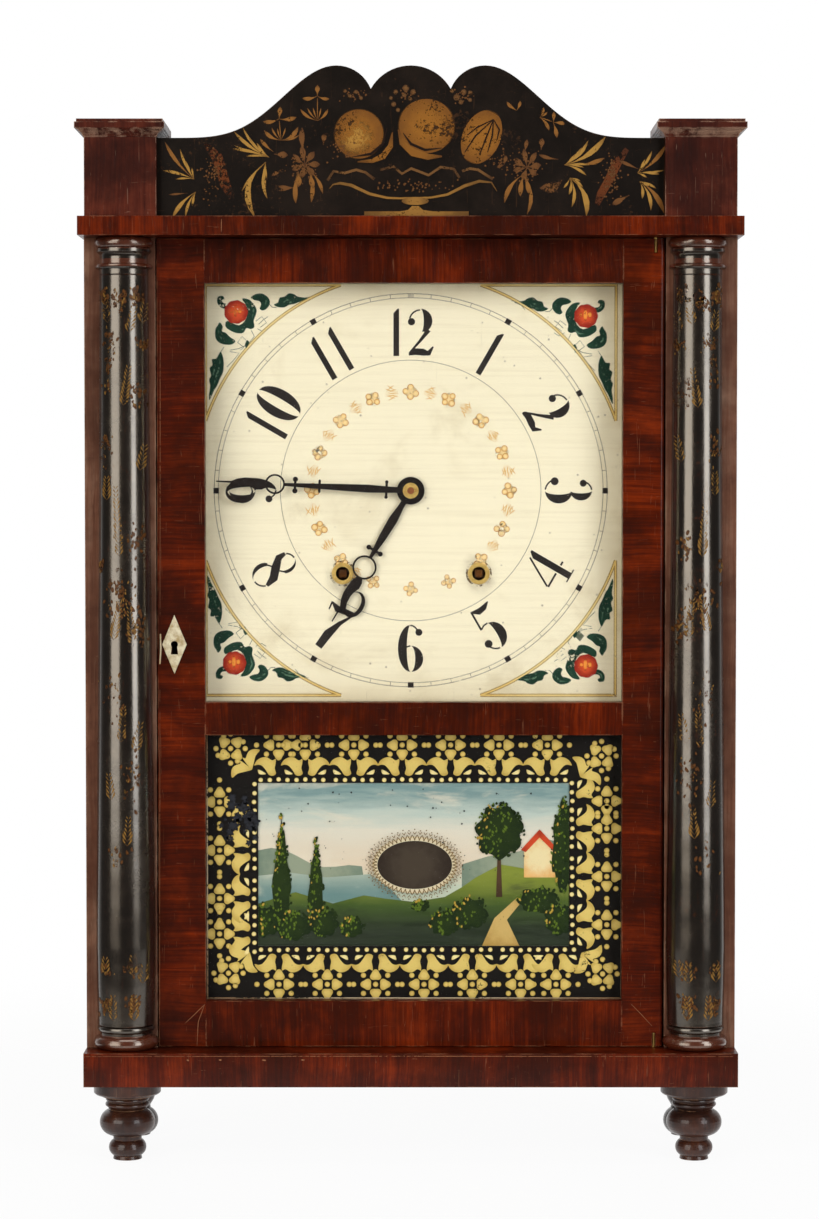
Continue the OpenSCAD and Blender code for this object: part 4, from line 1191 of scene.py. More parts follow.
# The dial's corner fruit: leaves, lights and curls, in mm inwards and downwards from the
# fruit of the upper left corner.
CORNER_LEAVES = (
    [(9.7, -9.3), (12.6, -11.6), (17.4, -12), (21.3, -9.3), (22.3, -5.8), (20.3, -2.3), (17.4, -1),
     (15.5, -2.3), (16.5, -4.8), (15.5, -7), (12.6, -7.7)],
    [(24.8, -4.8), (27.5, -6.2), (28.7, -9.3), (31.9, -10.1), (34.8, -12.2), (38.3, -11.6),
     (40.7, -10.1), (46.1, -9.3), (46.9, -8.7), (42.6, -7), (38.7, -5.4), (34.8, -4.6),
     (31.9, -3.1), (28.1, -3.1)],
    [(-11.6, -10.1), (-8.7, -10.5), (-7.7, -8.7), (-9.3, -7.7), (-8.1, -5.8), (-4.8, -5.4),
     (-3.9, -4.3), (-6.8, -2.3), (-9.7, -2.9), (-12, -5.4), (-12.4, -8.1)],
    [(3.9, -8.7), (8.7, -8.1), (12, -4.8), (13.6, -1), (12.6, 2.9), (11.6, 5.8), (12, 9.7),
     (9.7, 11.2), (6.8, 10.6), (4.8, 13.6), (1, 13.9), (-2.9, 12.6), (-6.8, 9.7), (-5.8, 5.8),
     (1.9, 8.7), (6.8, 3.9), (6.8, -3.9)],
    [(-10.6, 6.8), (-8.7, 9.7), (-9.3, 12.6), (-6.8, 13.6), (-3.9, 16.5), (-0.4, 19), (-2.9, 21.3),
     (-7.7, 21.3), (-11.6, 19.7), (-13.6, 16.5), (-13.6, 11.6), (-12, 8.7)],
    [(-10.1, 26.1), (-8.5, 30), (-8.1, 34.8), (-8.7, 39.7), (-10.6, 43.6), (-12.6, 48.4),
     (-14.5, 51.3), (-17.4, 57.7), (-17.8, 54.2), (-17, 48.4), (-17.8, 44.5), (-16.5, 41.6),
     (-17.4, 36.8), (-15.5, 34.8), (-15.9, 31), (-13.2, 30.6), (-11.6, 28.1)],
    [(7.4, 18.4), (8.7, 20.3), (7.7, 22.3), (6.8, 24.2), (5.8, 21.3)],
)
CORNER_LIGHTS = (
    ((13, -10.2), (17, -10), (20, -7), (19, -4)), ((29, -5), (34, -8), (39, -9), (43, -8.6)),
    ((31, -4.4), (36, -6.4), (40, -7)), ((-11.6, 11), (-11, 16), (-7, 19.4), (-3.4, 19.8)),
    ((-10.4, 30), (-11, 36), (-13, 42), (-15, 49)), ((-14, 33), (-14.4, 38), (-15.6, 43)),
    ((9.4, -6), (11.6, -1), (10.6, 4)), ((8, 8.4), (5, 11.4), (1, 11.8)),
    ((-10.6, -8.6), (-10, -5.6), (-7, -4)),
)
CORNER_CURLS = (
    ((10, 12), (12, 16), (8, 21), (2, 24), (-4, 25)),
    ((3, 25), (8, 20), (4, 16), (1, 20), (5, 23)),
    ((13, 6), (17, 3), (20, 7), (16, 10)), ((-4, 26), (2, 27), (-2, 32), (-6, 36)),
    ((40, -4), (44, -9), (49, -10)), ((15, 8), (18, 5), (21, 3)), ((14, 11), (18, 13), (21, 11)),
    ((-8, 23), (-10, 26), (-9, 30)), ((22, -5), (24, -3), (27, -3)),
)


def mirrored(outline: Iterable[Point], middle: Point, across: int, up: int) -> list[Point]:
    """Lays what was drawn inwards and downwards from a fruit round another corner's fruit."""
    return [(middle[0] + across * u, middle[1] + up * v) for u, v in outline]


@dataclass
class DialWork:
    """The painted dial: numbers, rings, wreath, gilt borders and corner fruit."""

    y: float = -18.0
    middle: Point = (0.0, DIAL_Z)
    hour_r: float = 104.0
    ring_out: float = 129.4
    ring_in: float = 126.7
    inner_r: float = 85.8
    wreath_r: float = 65.0
    corner_r: float = 142.6
    border: float = 135.0
    # How far each digit moves the next one on.
    steps = {"1": 12.8, "0": 20.5, "2": 19.0}
    # Each corner's fruit: its pixel, and the ways that run inwards and to the edge.
    corners: tuple[tuple, ...] = ((236, 312, 1, -1), (586, 316, -1, -1), (234.5, 663, 1, 1),
                                  (586, 666, -1, 1))

    def painter(self, lift: float) -> Painter:
        """Starts work that stands off the dial by lift."""
        return Painter(Flat(self.y), Body.CASE, lift)

    def numbers(self) -> None:
        """Paints the twelve hours, the lower five with their tops to the middle."""
        work = self.painter(0.02)
        for hour in range(1, 13):
            turn = -30 * hour + (180 if 4 <= hour <= 8 else 0)
            steps = [self.steps.get(digit, 18.0) for digit in str(hour)]
            left = -sum(steps) / 2
            for digit, step in zip(str(hour), steps):
                shift = left + step / 2 if len(steps) > 1 else 0.0
                left += step
                for outline in NUMERALS[digit]:
                    work.draw([(x + shift, y) for x, y in outline], turn=turn,
                              spot=polar(self.hour_r, 90 - 30 * hour, self.middle))
        work.finish("dial_numbers", NUMBER_PAINT)

    def rings(self) -> None:
        """Draws the minute track, the hour marks and the inner hairline."""
        work = self.painter(0.04)
        for radius, wide in ((self.ring_out, 0.36), (self.ring_in, 0.3), (self.inner_r, 0.3)):
            work.draw(*ring(radius + wide / 2, radius - wide / 2, self.middle, 180))
        tick = Shop.motif(rect(self.ring_in, self.ring_out, -0.15, 0.15))
        work.print(tick, [(*self.middle, 6 * k, 1.0) for k in range(60) if k % 5])
        work.finish("dial_rings", LINE_PAINT)
        mark = Shop.motif(rect(self.ring_in - 0.4, self.ring_out + 0.5, -1.9, 1.9))
        work.print(mark, [(*self.middle, 30 * k, 1.0) for k in range(12) if k != 3])
        work.finish("dial_hour_marks", NUMBER_PAINT)
        twelve, hub = self.painter(0.02), self.painter(0.02)
        for shift in (-1.6, -0.8, 0.0, 0.8, 1.6):
            twelve.draw(rect(shift - 0.13, shift + 0.13, self.ring_in, self.ring_out),
                        spot=self.middle)
        twelve.finish("dial_twelve_mark", LINE_PAINT)
        hub.draw(*ring(8.2, 5.6, self.middle))
        for hole in WINDING_HOLES:
            hub.draw(*ring(8.6, 7.3, hole))
        hub.finish("dial_smudges", SMUDGE)

    def wreath(self) -> None:
        """Prints the worn gilt wreath round the hands' arbor."""
        dice = random.Random(4)
        dark, pale, fans = (self.painter(lift) for lift in (0.01, 0.08, 0.01))
        rings, hearts, blots, strokes = [], [], [], []
        for turn in (22.5 * k for k in range(16)):
            faint = 0.8 if 235 < turn < 305 else 1.0
            at = polar(self.wreath_r, turn, self.middle)
            blots.append((*at, turn, faint))
            shift = dice.uniform(0, 90)
            for quarter in range(4):
                lean = shift + 90 * quarter + dice.uniform(-12, 12)
                spot = polar(dice.uniform(2.9, 3.4), lean, at)
                for store, most in ((rings, 1.08), (hearts, 1.1)):
                    store.append((*spot, 0, dice.uniform(0.9, most) * faint))
            if 240 < turn < 300:
                continue
            for step, ahead in ((6.2, 90), (16.0, -90)):
                foot = polar(self.wreath_r, turn + step, self.middle)
                for fan in (-33, -18, -3, 12, 27):
                    strokes.append((*foot, turn + step + ahead + fan + dice.uniform(-3, 3),
                                    dice.uniform(1.0, 1.4)))
        for work, motif, spots, name, finish in (
                (dark, ring(2.15, 1.6, count=16), rings, "rings", WREATH_DARK),
                (pale, [oval(1.5, 1.5, count=12)], hearts, "hearts", WREATH_GOLD),
                (fans, [blade((1.2, 0), (7.2, 0), 0.5, 0.06)], strokes, "strokes",
                 WREATH_STROKE),
                (fans, [petals(4.4, 4, 0.12, 20)], blots, "blots", WREATH_BLOT)):
            work.print(Shop.motif(*motif), spots)
            work.finish(f"dial_wreath_{name}", finish)

    def borders(self) -> None:
        """Gilds the corner borders: two lines with an arc between them."""
        edge = self.border
        reach = math.sqrt(self.corner_r ** 2 - edge ** 2)
        low = math.degrees(math.asin(reach / self.corner_r))
        for name, lift, wide, finish in (("dial_border_edge", 0.01, 2.1, BORDER_DARK),
                                         ("dial_border_gilt", 0.08, 1.0, BORDER_GOLD)):
            work = self.painter(lift)
            lines = ([(edge, reach), (edge, edge)], [(edge + wide / 2, edge), (reach, edge)],
                     arc(self.corner_r, low, 90 - low, 24))
            for turn in (0, 90, 180, 270):
                for line in lines:
                    work.draw(stroke(line, wide), spot=self.middle, turn=turn)
            work.finish(name, finish)

    def fruit(self) -> None:
        """Paints a red fruit with leaves and tendrils in each corner."""
        leaves, fruit, light, tendrils = (self.painter(v) for v in (0.04, 0.12, 0.2, 0.01))
        for px, py, *ways in self.corners:
            spot = EYE.at(px, py, self.y)
            for outline in CORNER_LEAVES:
                leaves.draw(mirrored(curl(outline), spot, *ways))
            for line in CORNER_LIGHTS:
                widths = [0.4] + [1.1] * (len(line) - 2) + [0.3]
                light.draw(mirrored(stroke(line, widths), spot, *ways))
            for line in CORNER_CURLS:
                tendrils.draw(mirrored(stroke(line, 0.42), spot, *ways))
            fruit.print(Shop.motif(petals(7.7, 9, 0.025, 45)), [(*spot, 0, 1.0)])
        leaves.finish("dial_fruit_leaves", LEAF_PAINT)
        light.finish("dial_fruit_leaf_lights", LEAF_LIGHT)
        tendrils.finish("dial_tendrils", TENDRIL)
        fruit.finish("dial_fruit", FRUIT_PAINT)
        for px, py, *_ in self.corners:
            x, z = EYE.at(px, py, self.y)
            for streak in (-3.0, -0.4, 2.4):
                light.draw(oval(1.2, 4.6 - abs(streak), (x + streak, z + 0.8), 14))
        light.finish("dial_fruit_lights", FRUIT_LIGHT)

    def build(self) -> None:
        """Paints all of the dial."""
        self.rings()
        self.borders()
        self.wreath()
        self.fruit()
        self.numbers()


@dataclass
class TabletWork:
    """The tablet glass, painted on its back: border, ground, picture and oval."""

    glass_back: float = -30.0
    left: float = -134.6
    right: float = 138.6
    low: float = 103.2
    high: float = 278.7
    panel: tuple[float, float, float, float] = (258.0, 569.0, 783.0, 946.0)
    oval_px: Point = (414.7, 865.0)
    oval_w: float = 24.8
    oval_h: float = 16.1

    def __post_init__(self) -> None:
        """Works out the picture's place and the oval's."""
        x0, x1, y0, y1 = self.panel
        self.x0, self.z1 = EYE.at(x0, y0, self.glass_back)
        self.x1, self.z0 = EYE.at(x1, y1, self.glass_back)
        self.cx, self.cz = EYE.at(*self.oval_px, self.glass_back)

    def painter(self, depth: float) -> Painter:
        """Starts work that lies behind the glass by depth."""
        return Painter(Flat(self.glass_back + depth), Body.DOOR, 0.0)

    def hole(self, grow: float = 0.0) -> list[Point]:
        """Gives the oval, grown on each side and run backwards so that it cuts a hole."""
        return oval(self.oval_w + grow, self.oval_h + grow, (self.cx, self.cz), 64)[::-1]

    def border(self) -> None:
        """Stencils the gilt border of flowers, leaf pairs and dots."""
        work, pale = self.painter(0.24), self.painter(0.14)
        units = [(px, 745.1, 0) for px in (278.6, 305.3, 353.8, 402.2, 450.6, 499.0, 547.4)]
        units += [(px, 984.4, 180) for px in (279.0, 327.3, 375.6, 424.0, 472.3, 520.6, 556.0)]
        units += [(219.6, py, 90) for py in (802.0, 850.3, 898.6, 934.0)]
        units += [(606.8, py, -90) for py in (801.0, 828.6, 876.6, 924.8)]
        corners = [(230.6, 748.6, 0, 1), (601.6, 756.0, 180, -1), (228.5, 973.2, 0, -1),
                   (602.6, 974.0, 180, 1)]
        petal, dot, whole, inner, bead, turned = ([] for _ in range(6))
        # Each motif of a unit: its store, its place from the flower, its turn and its mirror.
        unit = [(petal, polar(6.0, turn), turn, 1) for turn in (0, 90, 180, 270)]
        unit += [(dot, (0, 0), 0, 1)]
        for side in (-1, 1):
            unit += [(dot, (side * x, z), 0, 1) for x, z in ((8.0, -6.0), (8.0, 6.0), (14.5, 0))]
            unit += [(bead, (side * x, -23.0), 0, 1) for x in (5.8, 11.8)]
        unit += [(bead, (0, -22.6), 0, 1)]
        # The half turn with a mirror gives the unit's other half.
        unit += [(store, (0, 0), 180, -1) for store in (whole, inner)]
        whole_unit = [(store, (0, 0), 0, 1) for store in (whole, inner)] + unit
        flower = [(petal, polar(5.9, 45 + turn), 45 + turn, 1) for turn in (0, 90, 180, 270)]
        for turn in (0, 90, 180, 270):
            flower += [(dot, polar(9.6, turn), 0, 1),
                       (dot, polar(9.4, turn + math.degrees(0.5)), 0, 1)]
        flower += [(dot, (0, 0), 0, 1)]

        # The right half of an overlapped print is hidden, and one leaf has flaked.
        prints = [(px, py, turn, unit if px in (278.6, 219.6, 606.8) and py < 810 else whole_unit)
                  for px, py, turn in units]
        prints += [(px, py, 0, flower) for px, py, *_ in corners]
        for px, py, turn, motifs in prints:
            at = EYE.at(px, py, self.glass_back)
            for store, off, spin, flip in motifs:
                store.append((*beside(at, off, turn), turn + spin, 1.0, flip))
        turned += [(*EYE.at(px, py, self.glass_back), turn, 1.0, flip)
                   for px, py, turn, flip in corners]
        big = [(2.0, -9.1), (4.3, -10.1), (7.6, -8.1), (11.0, -8.2), (14.3, -10.1),
               (16.1, -13.4), (13.6, -12.9), (11.0, -13.6), (8.3, -16.7), (6.3, -19.7),
               (3.7, -20.2), (1.7, -18.7), (2.6, -15.4), (2.0, -12.1)]
        small = [(8.3, -19.0), (10.8, -17.2), (13.6, -16.2), (13.0, -18.9), (10.6, -19.4)]
        tip = [(7.7, -5.9), (9.8, -6.4), (11.3, -2.6), (14.4, -0.5), (19.2, -0.9),
               (16.5, -4.6), (15.4, -8.7), (13.9, -14.0), (12.4, -12.4), (10.3, -9.8)]
        for outline, spots in ((curl(big), whole), (curl(tip), turned),
                               (curl([(-y, -x) for x, y in tip]), turned),
                               (petals(3.5, 3, 0.16, 24), petal),
                               (oval(1.75, 1.75, count=12), dot)):
            work.print(Shop.motif(outline), spots)
        work.finish("tablet_border_gilt", STENCIL_GOLD)
        pale.print(Shop.motif(curl(small)), inner)
        pale.print(Shop.motif(oval(1.5, 1.5, count=10)), bead)
        pale.finish("tablet_border_light", STENCIL_PALE)
        dice = random.Random(6)
        flakes, line, chips = self.painter(0.09), self.painter(0.09), []
        for _ in range(46):
            px, py = dice.gauss(241, 9), dice.gauss(818, 11)
            if 221 < px < 257:
                chips.append((*EYE.at(px, py, self.glass_back), dice.uniform(0, 90),
                              dice.uniform(0.4, 1.3)))
        flakes.print(Shop.motif(petals(2.4, 5, 0.3, 20)), chips)
        flakes.finish("tablet_flaked_patch", FLAKED)
        line.draw(rect(self.left + 0.5, self.left + 1.2, self.low + 0.5, self.high - 1))
        line.draw(rect(self.left + 1.2, self.right - 1, self.low + 0.5, self.low + 1.1))
        line.finish("tablet_edge_line", EDGE_LINE)

    def ground(self) -> None:
        """Paints the black ground with the picture's opening, the oval's black ring, and a sheet of
        painted shade in the oval that stands for the dim inside of the case.
        """
        work, collar, lace, haze = (self.painter(v) for v in (0.4, 0.34, 0.24, 0.44))
        work.draw(rect(self.left, self.right, self.low, self.high),
                  rect(self.x0, self.x1, self.z0, self.z1)[::-1])
        work.finish("tablet_ground", TABLET_BLACK)
        collar.draw(self.hole(2.6)[::-1], self.hole(-0.2))
        collar.finish("tablet_oval_collar", OVAL_COLLAR)
        spots, tips = [], []
        count = 52
        for k in range(count):
            a = TURN * k / count
            cos, sin = math.cos(a), math.sin(a)
            slant = math.degrees(math.atan2(sin / self.oval_h, cos / self.oval_w))
            leaves = [(tips, grow, slant + lean, size) for grow, lean, size in (
                (0.8, 28, 0.44), (0.8, -28, 0.44), (4.0, 30, 0.3), (4.0, -30, 0.3))]
            for store, grow, turn, size in (*leaves, (spots, 0.6, 0, 0.5),
                                            (spots, 6.6 + 0.8 * (k % 2), 0, 0.45)):
                store.append((self.cx + (self.oval_w + grow) * cos,
                              self.cz + (self.oval_h + grow) * sin, turn, size))
        lace.print(Shop.motif(oval(1.0, 1.0, count=8)), spots)
        lace.print(Shop.motif(leaf(8.0, 1.5, count=8)), tips)
        lace.finish("tablet_oval_lace", OVAL_LACE)
        # The haze film is a sheet of painted shade. It stands for the dim inside of the case seen
        # through the oval, lighter in its middle and darker at its rim.
        haze.draw(self.hole(0.4)[::-1])
        haze.finish("tablet_oval_haze", OVAL_SHADE_SHEET)

    def spot(self, across: float, up: float) -> Point:
        """Gives X and Z of a place in shares of the picture's width and height."""
        return self.x0 + (self.x1 - self.x0) * across, self.z0 + (self.z1 - self.z0) * up

    def picture(self) -> None:
        """Paints a made-up lakeside: sky, hills, water, meadow, trees and a barn."""
        back = self.painter(1.3)
        back.draw(rect(self.x0 - 1, self.x1 + 1, self.z0 - 1, self.z1 + 1), self.hole(2))
        back.finish("tablet_sky", PICTURE_SKY)
        rise = [(k / 24, 0.5 + 0.1 * math.sin(2.1 + 4.4 * k / 24) + 0.03 * math.sin(k))
                for k in range(9)]
        # Each layer: its name, its depth behind the glass, its finish and its outlines.
        layers = (
            ("far_hills", 1.2, HILL_FAR, [(0, 0.35), (0.345, 0.35), *rise[::-1]],
             [(0.655, 0.35), (1, 0.35), (1, 0.62), (0.92, 0.66), (0.84, 0.58), (0.74, 0.55),
              (0.655, 0.5)]),
            ("lake", 1.1, WATER, [(0, 0.2), (0.5, 0.2), (0.42, 0.36), (0.36, 0.44), (0.22, 0.42),
                                  (0.1, 0.45), (0, 0.43)]),
            ("meadow", 1.0, MEADOW,
             [(0, 0), (1, 0), (1, 0.5), (0.9, 0.46), (0.78, 0.5), (0.7, 0.42), (0.655, 0.36),
              (0.6, 0.3), (0.5, 0.27), (0.41, 0.29), (0.34, 0.31), (0.24, 0.26), (0.12, 0.33),
              (0, 0.26)]),
            ("path", 0.92, PATH,
             [(0.72, 0), (0.84, 0), (0.8, 0.16), (0.86, 0.3), (0.835, 0.3), (0.76, 0.17)]),
            ("barn", 0.86, BARN,
             [(0.855, 0.42), (0.955, 0.42), (0.955, 0.6), (0.905, 0.7), (0.855, 0.6)]),
            ("barn_roof", 0.8, BARN_ROOF,
             [(0.845, 0.59), (0.905, 0.715), (0.905, 0.665), (0.86, 0.575)],
             [(0.905, 0.715), (0.965, 0.59), (0.952, 0.575), (0.905, 0.665)]),
            ("trunks", 0.74, TRUNK,
             [(0.765, 0.3), (0.785, 0.3), (0.779, 0.62), (0.771, 0.62)]),
        )
        for name, depth, finish, *shapes in layers:
            work = self.painter(depth)
            for shape in shapes:
                work.draw([self.spot(*point) for point in shape])
            work.finish(f"tablet_{name}", finish)
        self.trees()

    def trees(self) -> None:
        """Paints the trees and bushes in dabs, and the specks where the sky has flaked."""
        dice = random.Random(9)
        # Each crown or bush: its middle, its half width and height, its dabs and its point.
        greens = [(0.075, 0.46, 0.046, 0.34, 150, 1.0), (0.185, 0.4, 0.038, 0.26, 110, 1.0),
                  (0.775, 0.7, 0.08, 0.17, 190, 0.0), (0.985, 0.62, 0.05, 0.3, 120, 0.4)]
        greens += [(x, z, w, h, 70, 0.0) for x, z, w, h in (
            (0.02, 0.15, 0.05, 0.1), (0.11, 0.12, 0.06, 0.09), (0.21, 0.14, 0.05, 0.09),
            (0.3, 0.11, 0.04, 0.06), (0.6, 0.14, 0.05, 0.08), (0.68, 0.2, 0.06, 0.1),
            (0.9, 0.28, 0.07, 0.08), (0.97, 0.16, 0.05, 0.1), (0.52, 0.24, 0.03, 0.03))]
        dabs: dict[str, list] = {"dark": [], "lit": [], "gold": []}
        crowns = self.painter(0.7)
        for x, z, wide, tall, count, point in greens:
            # The solid crown keeps inside the picture, with a ragged rim.
            rim = []
            for a in (TURN * k / 44 for k in range(44)):
                ragged = 0.93 + 0.09 * math.sin(7 * a + x * 40) + dice.uniform(-0.04, 0.04)
                narrow = 1 - point * 0.42 * (math.sin(a) + 1)
                rim.append(self.spot(held(x + wide * narrow * ragged * math.cos(a), 0.0, 1.0),
                                     held(z + tall * ragged * math.sin(a), 0.0, 1.0)))
            crowns.draw(rim)
            for _ in range(count):
                rise = dice.uniform(-1, 1)
                reach = math.sqrt(1 - rise * rise) * (1 - point * 0.42 * (rise + 1))
                lean = dice.uniform(-1, 1)
                at = self.spot(held(x + lean * reach * wide, 0.012, 0.988),
                               held(z + rise * tall, 0.02, 0.965))
                kind = "dark"
                if lean - 0.5 * rise < 0.3 and dice.random() < 0.7:
                    kind = "lit" if lean - 0.5 * rise > -0.5 or dice.random() < 0.5 else "gold"
                dabs[kind].append((*at, dice.uniform(50, 130), dice.uniform(0.55, 1.1)))
        crowns.finish("tablet_crowns", FOLIAGE)
        for kind, depth, wide, finish in (("dark", 0.64, 2.0, FOLIAGE),
                                          ("lit", 0.54, 1.4, FOLIAGE_LIGHT),
                                          ("gold", 0.5, 1.4, FOLIAGE_GOLD)):
            work = self.painter(depth)
            work.print(Shop.motif(leaf(2.6, wide, count=8)), dabs[kind])
            work.finish(f"tablet_foliage_{kind}", finish)
        specks = self.painter(0.48)
        specks.print(Shop.motif(petals(0.5, 3, 0.2, 9)),
                     [(*self.spot(dice.uniform(0.02, 0.98), dice.uniform(0.45, 0.98)),
                       dice.uniform(0, 90), dice.uniform(0.4, 1.3)) for _ in range(70)])
        specks.finish("tablet_specks", FLAKED)

    def build(self) -> None:
        """Paints all of the tablet."""
        self.border()
        self.ground()
        self.picture()


# The splat's sprays: the photograph's pixel of each one's foot, then each leaf's tip, its
# width in mm and how far it sags to the left.
GILT_SPRAYS = (
    ((194.2, 179.2), (180.1, 149.4, 2.2, 0.05), (185.6, 160.8, 2.4, 0.05),
     (191.9, 167.7, 1.5, 0.03), (163.2, 170.6, 2.7, -0.04), (175.8, 179.2, 1.8, -0.05)),
    ((195.9, 191.8), (172.4, 218.2, 3.7, -0.08), (185.6, 216.5, 2.5, -0.08),
     (192.5, 205.6, 2.2, -0.05)),
    ((269.4, 157.4), (234.0, 131.6, 3.1, 0.06), (242.8, 127.6, 2.4, 0.08),
     (248.7, 136.7, 2.5, 0.08), (256.8, 143.0, 2.2, 0.06), (232.7, 148.8, 2.7, -0.04),
     (233.8, 145.3, 1.3, 0.02), (246.4, 156.3, 1.8, -0.05)),
    ((265.9, 162.0), (241.8, 191.3, 2.1, -0.05), (255.0, 217.7, 5.5, -0.22),
     (267.3, 198.7, 3.0, -0.1), (265.9, 186.1, 2.7, -0.08), (266.9, 178.1, 1.8, -0.05)),
    ((564.3, 165.0), (605.6, 136.4, 5.0, -0.1), (588.1, 140.6, 3.1, -0.1),
     (581.7, 147.6, 2.7, -0.08), (575.3, 154.0, 1.9, -0.05), (589.8, 165.0, 1.9, 0.04),
     (584.0, 167.6, 1.5, 0.05), (586.3, 175.4, 2.5, 0.08)),
    ((570.1, 177.8), (582.9, 187.6, 1.9, 0.08), (580.5, 181.3, 1.3, 0.06),
     (586.3, 216.1, 5.2, 0.16), (571.8, 206.8, 3.0, 0.12), (568.9, 194.6, 2.7, 0.1),
     (563.4, 188.2, 1.9, 0.05)),
    ((637.4, 173.1), (651.9, 151.1, 2.5, -0.06), (645.0, 159.2, 2.5, -0.05),
     (659.5, 174.3, 2.7, 0.05), (664.1, 170.2, 1.8, -0.03), (646.7, 177.5, 1.8, 0.05)),
    ((639.7, 181.3), (649.0, 186.1, 2.7, 0.05), (656.0, 188.5, 2.2, 0.06),
     (650.8, 210.3, 3.3, 0.12), (642.1, 198.7, 2.7, 0.1)),
)
BRONZE_SPRAYS = (
    ((194.2, 179.2), (164.9, 141.9, 3.3, 0.06)),
    ((273.4, 151.7), (260.2, 139.0, 3.0, 0.05)),
    ((279.1, 118.9), (263.1, 121.6, 3.7, 0.1), (280.3, 106.9, 4.1, 0.0),
     (296.4, 117.2, 3.9, -0.08)),
    ((280.9, 140.2), (264.2, 130.4, 3.4, 0.12), (271.7, 127.6, 1.6, 0.08),
     (277.4, 128.1, 1.2, 0.04), (285.5, 127.6, 1.3, -0.04), (298.1, 127.0, 3.9, -0.16),
     (299.2, 135.0, 1.6, -0.1)),
    ((317.6, 120.7), (300.4, 109.2, 2.7, 0.1), (307.3, 108.0, 1.5, 0.06), (313.0, 107.5, 1.3, 0.03),
     (321.0, 107.8, 1.3, -0.03), (327.9, 109.2, 2.7, -0.1)),
    ((317.4, 95.9), (302.4, 98.2, 3.5, 0.1), (317.4, 85.2, 4.3, 0.0), (329.5, 98.8, 2.8, -0.1)),
    ((553.2, 122.6), (565.3, 124.0, 3.4, 0.04), (553.7, 111.8, 3.2, -0.03),
     (556.9, 137.8, 3.6, 0.04)),
    ((539.9, 117.4), (543.5, 107.4, 2.4, -0.1), (547.4, 112.0, 1.7, -0.06),
     (549.0, 130.4, 3.0, 0.1), (546.9, 125.5, 1.6, 0.06)),
    ((639.7, 181.3), (664.1, 213.2, 4.6, 0.1)),
    ((637.4, 173.1), (666.4, 144.1, 3.7, -0.08)),
    ((578.2, 165.0), (604.3, 158.0, 3.9, -0.06)),
    ((516.7, 110.4), (506.8, 101.7, 3.0, 0.08), (509.7, 105.2, 1.9, 0.04),
     (520.4, 100.9, 2.7, -0.06)),
    ((298.1, 171.2), (295.8, 203.3, 4.4, -0.05), (298.1, 187.2, 5.2, 0.05)),
    ((310.7, 171.2), (311.3, 202.2, 4.0, 0.05), (313.6, 188.4, 4.9, -0.05),
     (322.8, 193.6, 3.3, 0.08)),
    ((523.7, 174.3), (520.4, 196.3, 4.5, -0.04), (529.7, 195.2, 4.5, 0.04),
     (504.5, 202.7, 4.2, -0.12), (527.1, 214.3, 3.4, 0.14)),
)
WORN_SPRAYS = (
    ((305.0, 164.3), (293.5, 154.0, 5.2, 0.1), (301.5, 145.9, 5.2, 0), (314.2, 151.7, 5.6, 0),
     (319.9, 164.3, 5.6, 0), (314.2, 175.8, 5.6, 0), (301.5, 178.1, 5.2, 0),
     (292.3, 170.0, 5.2, 0)),
    ((303.8, 154.0), (302.1, 127.6, 5.2, 0.04)),
    ((295.8, 187.2), (277.4, 186.1, 3.4, 0.05), (278.6, 190.7, 2.2, 0)),
    ((527.1, 167.3), (515.5, 158.0, 5.2, 0.1), (523.7, 148.8, 4.5, 0), (536.4, 152.2, 4.8, 0),
     (541.1, 165.0, 5.7, 0), (536.4, 175.4, 5.2, 0), (522.5, 180.1, 5.2, 0),
     (513.2, 170.8, 4.8, 0)),
    ((562.0, 180.1), (539.9, 188.2, 7.5, 0.1), (548.0, 192.9, 3.7, 0.1)),
    ((558.5, 159.2), (538.8, 154.6, 3.3, 0.05)),
    ((541.1, 149.9), (542.2, 138.3, 4.9, 0)),
    ((524.8, 152.2), (527.1, 139.5, 3.6, 0)),
    ((503.9, 165.0), (497.0, 167.3, 3.0, 0), (506.3, 155.7, 3.7, 0)),
    ((323.3, 144.8), (324.5, 133.3, 4.9, 0)),
    ((283.2, 168.9), (271.7, 175.8, 3.3, 0)),
    ((274.0, 154.0), (287.8, 155.1, 5.9, 0)),
    ((187.9, 193.0), (168.9, 194.7, 1.8, 0)),
    ((639.7, 169.6), (618.8, 160.4, 3.0, 0)),
    ((629.3, 195.2), (611.9, 204.5, 5.2, 0)),
)


